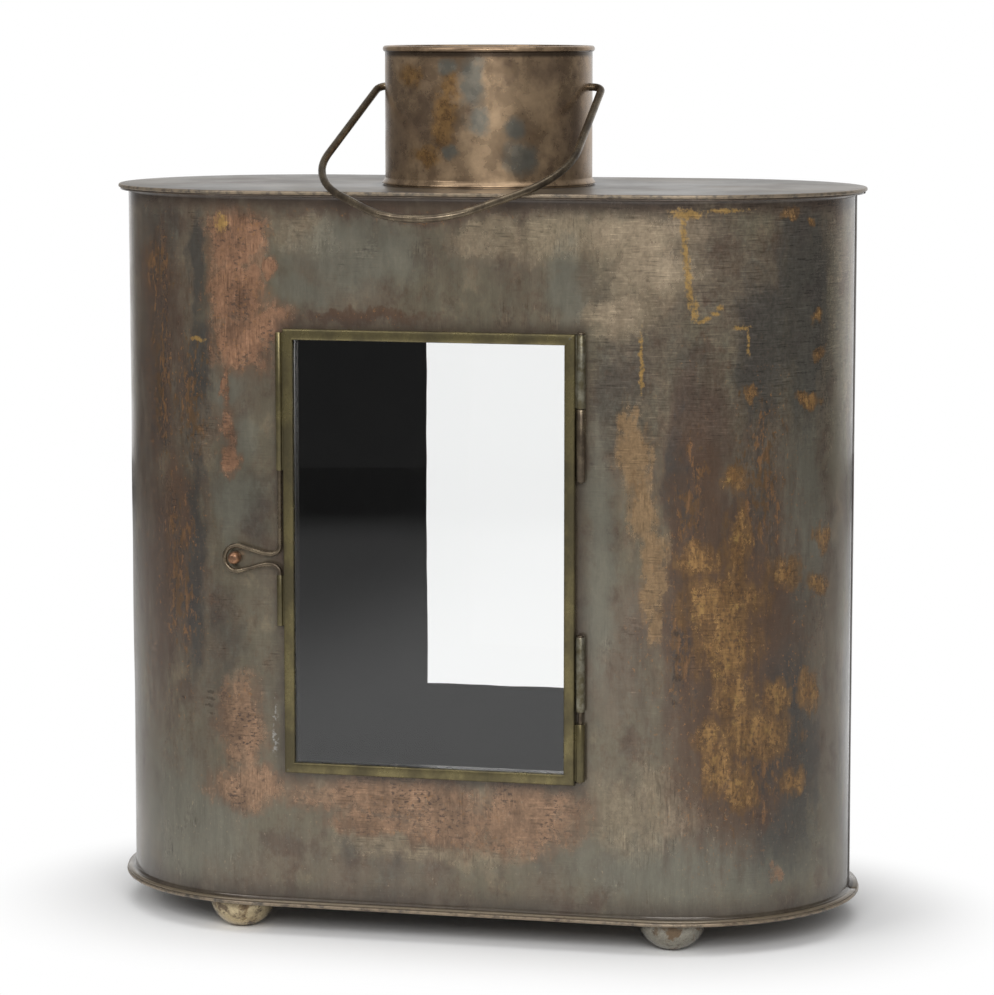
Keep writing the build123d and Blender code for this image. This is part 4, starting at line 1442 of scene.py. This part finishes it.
class LANTERN_OT_bail(bpy.types.Operator):
    """Build the bent wire bail as it rests on the lid's edge"""

    bl_idname = "lantern.bail"
    bl_label = "Bail"

    def execute(self, context):
        sizes = sizes_now()
        pivot = joint_places["bail_swing"]
        drop, reach = pivot.z - lid_high.z, lid_high.y
        clear = (sizes.bail_wire_radius + sizes.bail_rest_gap) / math.hypot(drop, reach)
        slope = math.atan2(drop, reach) - math.asin(clear)
        out = Vector((0, -math.cos(slope), -math.sin(slope)))
        corners = [pivot + Vector((x * MM, 0, 0)) + out * d * MM for x, d, bend in BAIL_CORNERS]
        bends = [bend * MM for x, d, bend in BAIL_CORNERS]
        bm = bmesh.new()
        sweep_wire(bm, corners, bends, sizes.bail_wire_radius, 20, 2.5 * MM)
        make_piece("bail_wire", bm, [finish("bent_wire")], "bail", ["bail_handle"], 60)
        return {"FINISHED"}


def channel_bar(name, node_name, side, outward, body, sizes):
    """Build one mitred channel of a frame: a U that holds the pane, with a rounded face."""
    low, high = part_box(node_name)
    depth = high.y - low.y
    upright = side in ("left", "right")
    face = high.x - low.x if upright else high.z - low.z
    length = high.z - low.z if upright else high.x - low.x
    lip = sizes.frame_lip
    groove = face - sizes.pane_seat
    bm = bmesh.new()
    outline = [
        (0, 0), (face, 0), (face, lip), (groove, lip),
        (groove, depth - lip), (face, depth - lip), (face, depth), (0, depth),
    ]
    section = wire(bm, [(0, u, v) for u, v in outline], closed=True)
    bm.faces.new(section)
    round_corners(bm, section[:2], 0.3 * MM, 2)
    front = [vert for vert in bm.verts if vert.co.z > depth - WELD]
    round_corners(bm, front, sizes.frame_round, 4)
    run_along(bm, whole(bm), (length, 0, 0), CHANNEL_STEPS)
    for vert in bm.verts:
        share = 1 - 2 * vert.co.x / length
        vert.co.x += share * vert.co.y
    back = high.y if outward < 0 else low.y
    starts = {
        "top": ((low.x, back, high.z), (1, 0, 0), (0, 0, -1)),
        "bottom": ((low.x, back, low.z), (1, 0, 0), (0, 0, 1)),
        "left": ((low.x, back, low.z), (0, 0, 1), (1, 0, 0)),
        "right": ((high.x, back, low.z), (0, 0, 1), (-1, 0, 0)),
    }
    start, along, inwards = starts[side]
    place = Matrix((along, inwards, (0, outward, 0))).transposed().to_4x4()
    bmesh.ops.transform(bm, matrix=Matrix.Translation(start) @ place, verts=bm.verts)
    make_piece(name, bm, [finish("aged_brass")], body, [node_name], 50)


def pane(name, node_name, body, sizes):
    """Build a pane with ground edges."""
    low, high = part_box(node_name)
    bm = bmesh.new()
    add_box(bm, low, high, sizes.pane_arris)
    make_piece(name, bm, [finish("window_pane")], body, [node_name], 5)


def solder_drop(name, place, reach, body):
    """Build a small run of solder, flattened and uneven."""
    bm = bmesh.new()
    bmesh.ops.create_icosphere(bm, subdivisions=4, radius=1.0)
    bmesh.ops.scale(bm, vec=reach, verts=bm.verts)
    bmesh.ops.translate(bm, vec=place, verts=bm.verts)
    bend_sheet(bm, 0.35 * min(reach), 1.6 * MM, lambda co: 1.0)
    make_piece(name, bm, [finish("grey_solder")], body, [], 80)


class LANTERN_OT_door(bpy.types.Operator):
    """Build the door's four mitred channels, its pane and the solder of its corners"""

    bl_idname = "lantern.door"
    bl_label = "Door"

    def execute(self, context):
        sizes = sizes_now()
        names = {"top": "top_rail", "bottom": "bottom_rail", "left": "latch_stile", "right": "hinge_stile"}
        for side, part in names.items():
            channel_bar(f"door_{part}_channel", f"door_{part}", side, -1, "door", sizes)
        pane("door_pane", "door_glass", "door", sizes)
        top_low, top_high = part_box("door_top_rail")
        foot_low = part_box("door_bottom_rail")[0]
        lip = sizes.frame_lip
        reach = (1.7 * lip, 0.45 * lip, 1.7 * lip)
        for level, z in (("top", top_high.z - 2 * lip), ("bottom", foot_low.z + 2 * lip)):
            for end, x in (("left", top_low.x + 2 * lip), ("right", top_high.x - 2 * lip)):
                solder_drop(f"door_solder_{level}_{end}", (x, top_low.y + reach[1], z), reach, "door")
        return {"FINISHED"}


class LANTERN_OT_rear_window(bpy.types.Operator):
    """Build the rear pane and the four channels that hold it on the wall"""

    bl_idname = "lantern.rear_window"
    bl_label = "Rear window"

    def execute(self, context):
        sizes = sizes_now()
        names = {"top": "top_rail", "bottom": "bottom_rail", "left": "left_stile", "right": "right_stile"}
        for side, part in names.items():
            channel_bar(f"rear_{part}_channel", f"rear_{part}", side, 1, "body", sizes)
        pane("rear_pane", "rear_glass", "body", sizes)
        return {"FINISHED"}


class LANTERN_OT_hinges(bpy.types.Operator):
    """Build the hinge knuckles with their solder webs, and the pins"""

    bl_idname = "lantern.hinges"
    bl_label = "Hinges"

    def execute(self, context):
        sizes = sizes_now()
        line = joint_places["door_hinge"]
        half_web = sizes.knuckle_web / 2
        inner = 0.5 * (sizes.knuckle_radius + sizes.knuckle_bore)
        for body in ("door", "body"):
            for level in ("upper", "lower"):
                name = f"{body}_knuckle_{level}"
                low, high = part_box(name)
                bm = bmesh.new()
                add_tube(
                    bm, line.x, line.y, low.z, high.z, sizes.knuckle_radius, sizes.knuckle_bore, 0.3 * MM
                )
                if body == "door":
                    web = ((low.x, line.y - half_web), (line.x - inner, line.y + half_web))
                else:
                    web = ((line.x - half_web, line.y + inner), (line.x + half_web, high.y))
                inset = sizes.web_inset
                add_box(bm, (*web[0], low.z + inset), (*web[1], high.z - inset), 0.2 * MM)
                metal = finish(KNUCKLE_FINISHES[name])
                make_piece(f"{name}_barrel", bm, [metal], body, [name])
        for level in ("upper", "lower"):
            name = f"hinge_pin_{level}"
            low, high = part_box(name)
            head = (high.x - low.x) / 2
            seat = high.z - sizes.pin_head_height
            bm = bmesh.new()
            corners = wire(
                bm,
                [
                    (line.x, line.y, low.z), (line.x + sizes.pin_radius, line.y, low.z),
                    (line.x + sizes.pin_radius, line.y, seat), (line.x + head, line.y, seat),
                    (line.x + head, line.y, high.z), (line.x, line.y, high.z),
                ],
            )
            round_corners(bm, corners[4:5], 0.8 * sizes.pin_head_height, 4)
            revolve(bm, (line.x, line.y, 0), steps=BARREL_STEPS)
            make_piece(f"{name}_rod", bm, [finish("bent_wire")], "body", [name])
        return {"FINISHED"}


class LANTERN_OT_latch(bpy.types.Operator):
    """Build the latch's tubes, its wire loop and the stud on the wall"""

    bl_idname = "lantern.latch"
    bl_label = "Latch"

    def execute(self, context):
        sizes = sizes_now()
        line = joint_places["latch_swing"]
        half_web = sizes.latch_tube_web / 2
        for level in ("upper", "lower"):
            name = f"latch_tube_{level}"
            low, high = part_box(name)
            radius = (high.y - low.y) / 2
            inner = 0.5 * (radius + sizes.latch_tube_bore)
            bm = bmesh.new()
            add_tube(bm, line.x, line.y, low.z, high.z, radius, sizes.latch_tube_bore, 0.15 * MM)
            web_low = (line.x + inner, line.y - half_web, low.z + sizes.web_inset)
            web_high = (high.x, line.y + half_web, high.z - sizes.web_inset)
            add_box(bm, web_low, web_high, 0.15 * MM)
            make_piece(f"{name}_sleeve", bm, [finish("aged_brass")], "door", [name])

        corners = [line + Vector((-x * MM, 0, z * MM)) for x, z, bend in LATCH_CORNERS]
        bends = [bend * MM for x, z, bend in LATCH_CORNERS]
        bm = bmesh.new()
        sweep_wire(bm, corners, bends, sizes.latch_wire_radius, 16, 1.5 * MM)
        make_piece("latch_loop", bm, [finish("bent_wire")], "latch", ["latch_wire"], 60)

        low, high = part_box("latch_stud")
        middle = (low + high) / 2
        radius = (high.x - low.x) / 2
        bm = bmesh.new()
        corners = wire(
            bm,
            [
                (middle.x, high.y, middle.z), (middle.x + radius, high.y, middle.z),
                (middle.x + radius, low.y, middle.z), (middle.x, low.y, middle.z),
            ],
        )
        round_corners(bm, corners[2:3], sizes.stud_round, 6)
        revolve(bm, middle, (0, 1, 0), steps=40)
        make_piece("latch_stud_head", bm, [finish("stud_copper")], "body", ["latch_stud"])
        return {"FINISHED"}


# Stage


def seen_as(tree):
    """What a ray sees the surroundings as: the plain view, straight through the panes, or a mirror image.

    The last number is 1 for a mirror image in the nearer pane and 0 for one from behind it.
    """
    path = node(tree, "ShaderNodeLightPath").outputs
    mirrored = calc(tree, "GREATER_THAN", path["Glossy Depth"], 0.5)
    scattered = calc(tree, "GREATER_THAN", path["Diffuse Depth"], 0.5)
    past_pane = both(tree, path["Is Transmission Ray"], calc(tree, "SUBTRACT", 1.0, scattered))
    mirror = either(tree, path["Is Glossy Ray"], both(tree, past_pane, mirrored))
    through = both(tree, past_pane, calc(tree, "SUBTRACT", 1.0, mirrored))
    nearer = calc(tree, "LESS_THAN", path["Transmission Depth"], 3.5)
    return path["Is Camera Ray"], through, mirror, nearer


def pale_floor(colours, studio):
    """Pale floor that keeps shadows near the lantern and is plain white further off."""
    material, tree = new_material("pale_floor")
    point = object_point(tree)
    distance = node(tree, "ShaderNodeVectorMath", {0: point}, operation="LENGTH").outputs["Value"]
    plain, through, mirror, nearer = seen_as(tree)
    x, y, _ = split(tree, point)
    aside = fade(tree, calc(tree, "ABSOLUTE", x), 0.18, 0.34, 1.0, 0.6)
    slope = calc(tree, "DIVIDE", y, calc(tree, "MAXIMUM", calc(tree, "SUBTRACT", x, 0.10), 0.02))
    behind = both(tree, fade(tree, x, 0.14, 0.22), fade(tree, slope, 0.8, 1.7, 0.0, 0.4))
    table = calc(
        tree, "ADD", fade(tree, distance, 1.58, 1.30, 0.0, 0.62), fade(tree, distance, 1.35, 0.65, 0.0, 0.38)
    )
    reflected = both(tree, mirror, either(tree, both(tree, nearer, table), studio.room))
    reflected = both(tree, reflected, calc(tree, "ADD", aside, behind))
    white = either(tree, either(tree, plain, reflected), both(tree, through, studio.behind_panes))
    lit = node(tree, "ShaderNodeBsdfDiffuse", {"Color": colours.floor}).outputs[0]
    glow = node(tree, "ShaderNodeEmission", {"Color": (1, 1, 1, 1), "Strength": white}).outputs[0]
    off_wall = calc(tree, "SUBTRACT", oval_reach(tree, point), wall_radius)
    by_wall = both(tree, plain, fade(tree, off_wall, 0.0, 0.08))
    spread = either(tree, by_wall, fade(tree, distance, 0.19, 0.48))
    blend = both(tree, spread, calc(tree, "GREATER_THAN", white, 0.05))
    surface = node(tree, "ShaderNodeMixShader", {0: blend, 1: lit, 2: glow}).outputs[0]
    node(tree, "ShaderNodeOutputMaterial", {"Surface": surface})
    return material


def studio_world(studio):
    """White to the eye; a mirror image has white behind and a dim room at the sides and in front."""
    world = bpy.data.worlds.new("studio")
    world.use_nodes = True
    tree = world.node_tree
    tree.nodes.clear()
    way = node(tree, "ShaderNodeTexCoord").outputs["Generated"]
    room = fade(tree, split(tree, way)[1], 0.58, 0.95, studio.room, 1.0)
    plain, through, mirror, _ = seen_as(tree)
    white = either(tree, plain, both(tree, through, studio.behind_panes))
    strength = calc(tree, "MULTIPLY_ADD", mirror, calc(tree, "SUBTRACT", room, studio.sky), studio.sky)
    strength = either(tree, strength, white)
    background = node(tree, "ShaderNodeBackground", {"Color": (1, 1, 1, 1), "Strength": strength})
    node(tree, "ShaderNodeOutputWorld", {"Surface": background.outputs[0]})
    return world


def area_lamp(name, place, watts, width, height):
    """Hang a soft rectangular lamp that looks at the lantern."""
    lamp = bpy.data.lights.new(name, "AREA")
    lamp.shape = "RECTANGLE"
    lamp.size = width
    lamp.size_y = height
    lamp.energy = watts
    hung = bpy.data.objects.new(name, lamp)
    hung.location = place
    hung.rotation_euler = (Vector(LAMP_TARGET) - Vector(place)).to_track_quat("-Z", "Y").to_euler()
    bpy.context.scene.collection.objects.link(hung)


class LANTERN_OT_stage(bpy.types.Operator):
    """Set up the floor, the lamps and the camera"""

    bl_idname = "lantern.stage"
    bl_label = "Stage"

    def execute(self, context):
        scene = context.scene
        studio = scene.lantern_studio
        bm = bmesh.new()
        bmesh.ops.create_circle(bm, cap_ends=True, segments=96, radius=FLOOR_RADIUS)
        mesh = bpy.data.meshes.new("floor")
        bm.to_mesh(mesh)
        bm.free()
        mesh.materials.append(pale_floor(scene.lantern_colours, studio))
        floor = bpy.data.objects.new("floor", mesh)
        scene.collection.objects.link(floor)
        scene.world = studio_world(studio)
        for name, (place, width, height) in LAMPS.items():
            area_lamp(name, place, getattr(studio, f"{name}_watts"), width, height)
        lens = bpy.data.cameras.new("camera")
        lens.lens = studio.lens
        lens.sensor_width = CAMERA_SENSOR
        camera = bpy.data.objects.new("camera", lens)
        camera.location = studio.camera_place
        look = Vector(studio.camera_target) - Vector(studio.camera_place)
        camera.rotation_euler = look.to_track_quat("-Z", "Y").to_euler()
        scene.collection.objects.link(camera)
        scene.camera = camera
        scene.view_settings.view_transform = "Standard"
        return {"FINISHED"}


class LANTERN_PT_sidebar(bpy.types.Panel):
    """Lists the lantern's sizes, colours and building steps"""

    bl_idname = "LANTERN_PT_sidebar"
    bl_label = "Patinated lantern"
    bl_space_type = "VIEW_3D"
    bl_region_type = "UI"
    bl_category = "Lantern"

    def draw(self, context):
        layout = self.layout
        for group in SETTINGS:
            settings = getattr(context.scene, group)
            box = layout.box()
            for name in settings.__annotations__:
                box.prop(settings, name)
        for step in STEPS:
            layout.operator(step.bl_idname)


STEPS = (
    LANTERN_OT_front_wall,
    LANTERN_OT_rear_wall,
    LANTERN_OT_plates,
    LANTERN_OT_feet,
    LANTERN_OT_chimney,
    LANTERN_OT_bail,
    LANTERN_OT_door,
    LANTERN_OT_rear_window,
    LANTERN_OT_hinges,
    LANTERN_OT_latch,
    LANTERN_OT_stage,
)
SETTINGS = {
    "lantern_sizes": LanternSizes,
    "lantern_colours": LanternColours,
    "lantern_studio": LanternStudio,
}


def register():
    for settings in SETTINGS.values():
        bpy.utils.register_class(settings)
    for name, settings in SETTINGS.items():
        setattr(bpy.types.Scene, name, PointerProperty(type=settings))
    for step in (*STEPS, LANTERN_PT_sidebar):
        bpy.utils.register_class(step)


def unregister():
    for step in reversed((*STEPS, LANTERN_PT_sidebar)):
        bpy.utils.unregister_class(step)
    for name in SETTINGS:
        delattr(bpy.types.Scene, name)
    for settings in reversed(SETTINGS.values()):
        bpy.utils.unregister_class(settings)


def main():
    """Build every piece and the stage."""
    register()
    for step in STEPS:
        group, name = step.bl_idname.split(".")
        getattr(getattr(bpy.ops, group), name)()


if __name__ == "__main__":
    main()
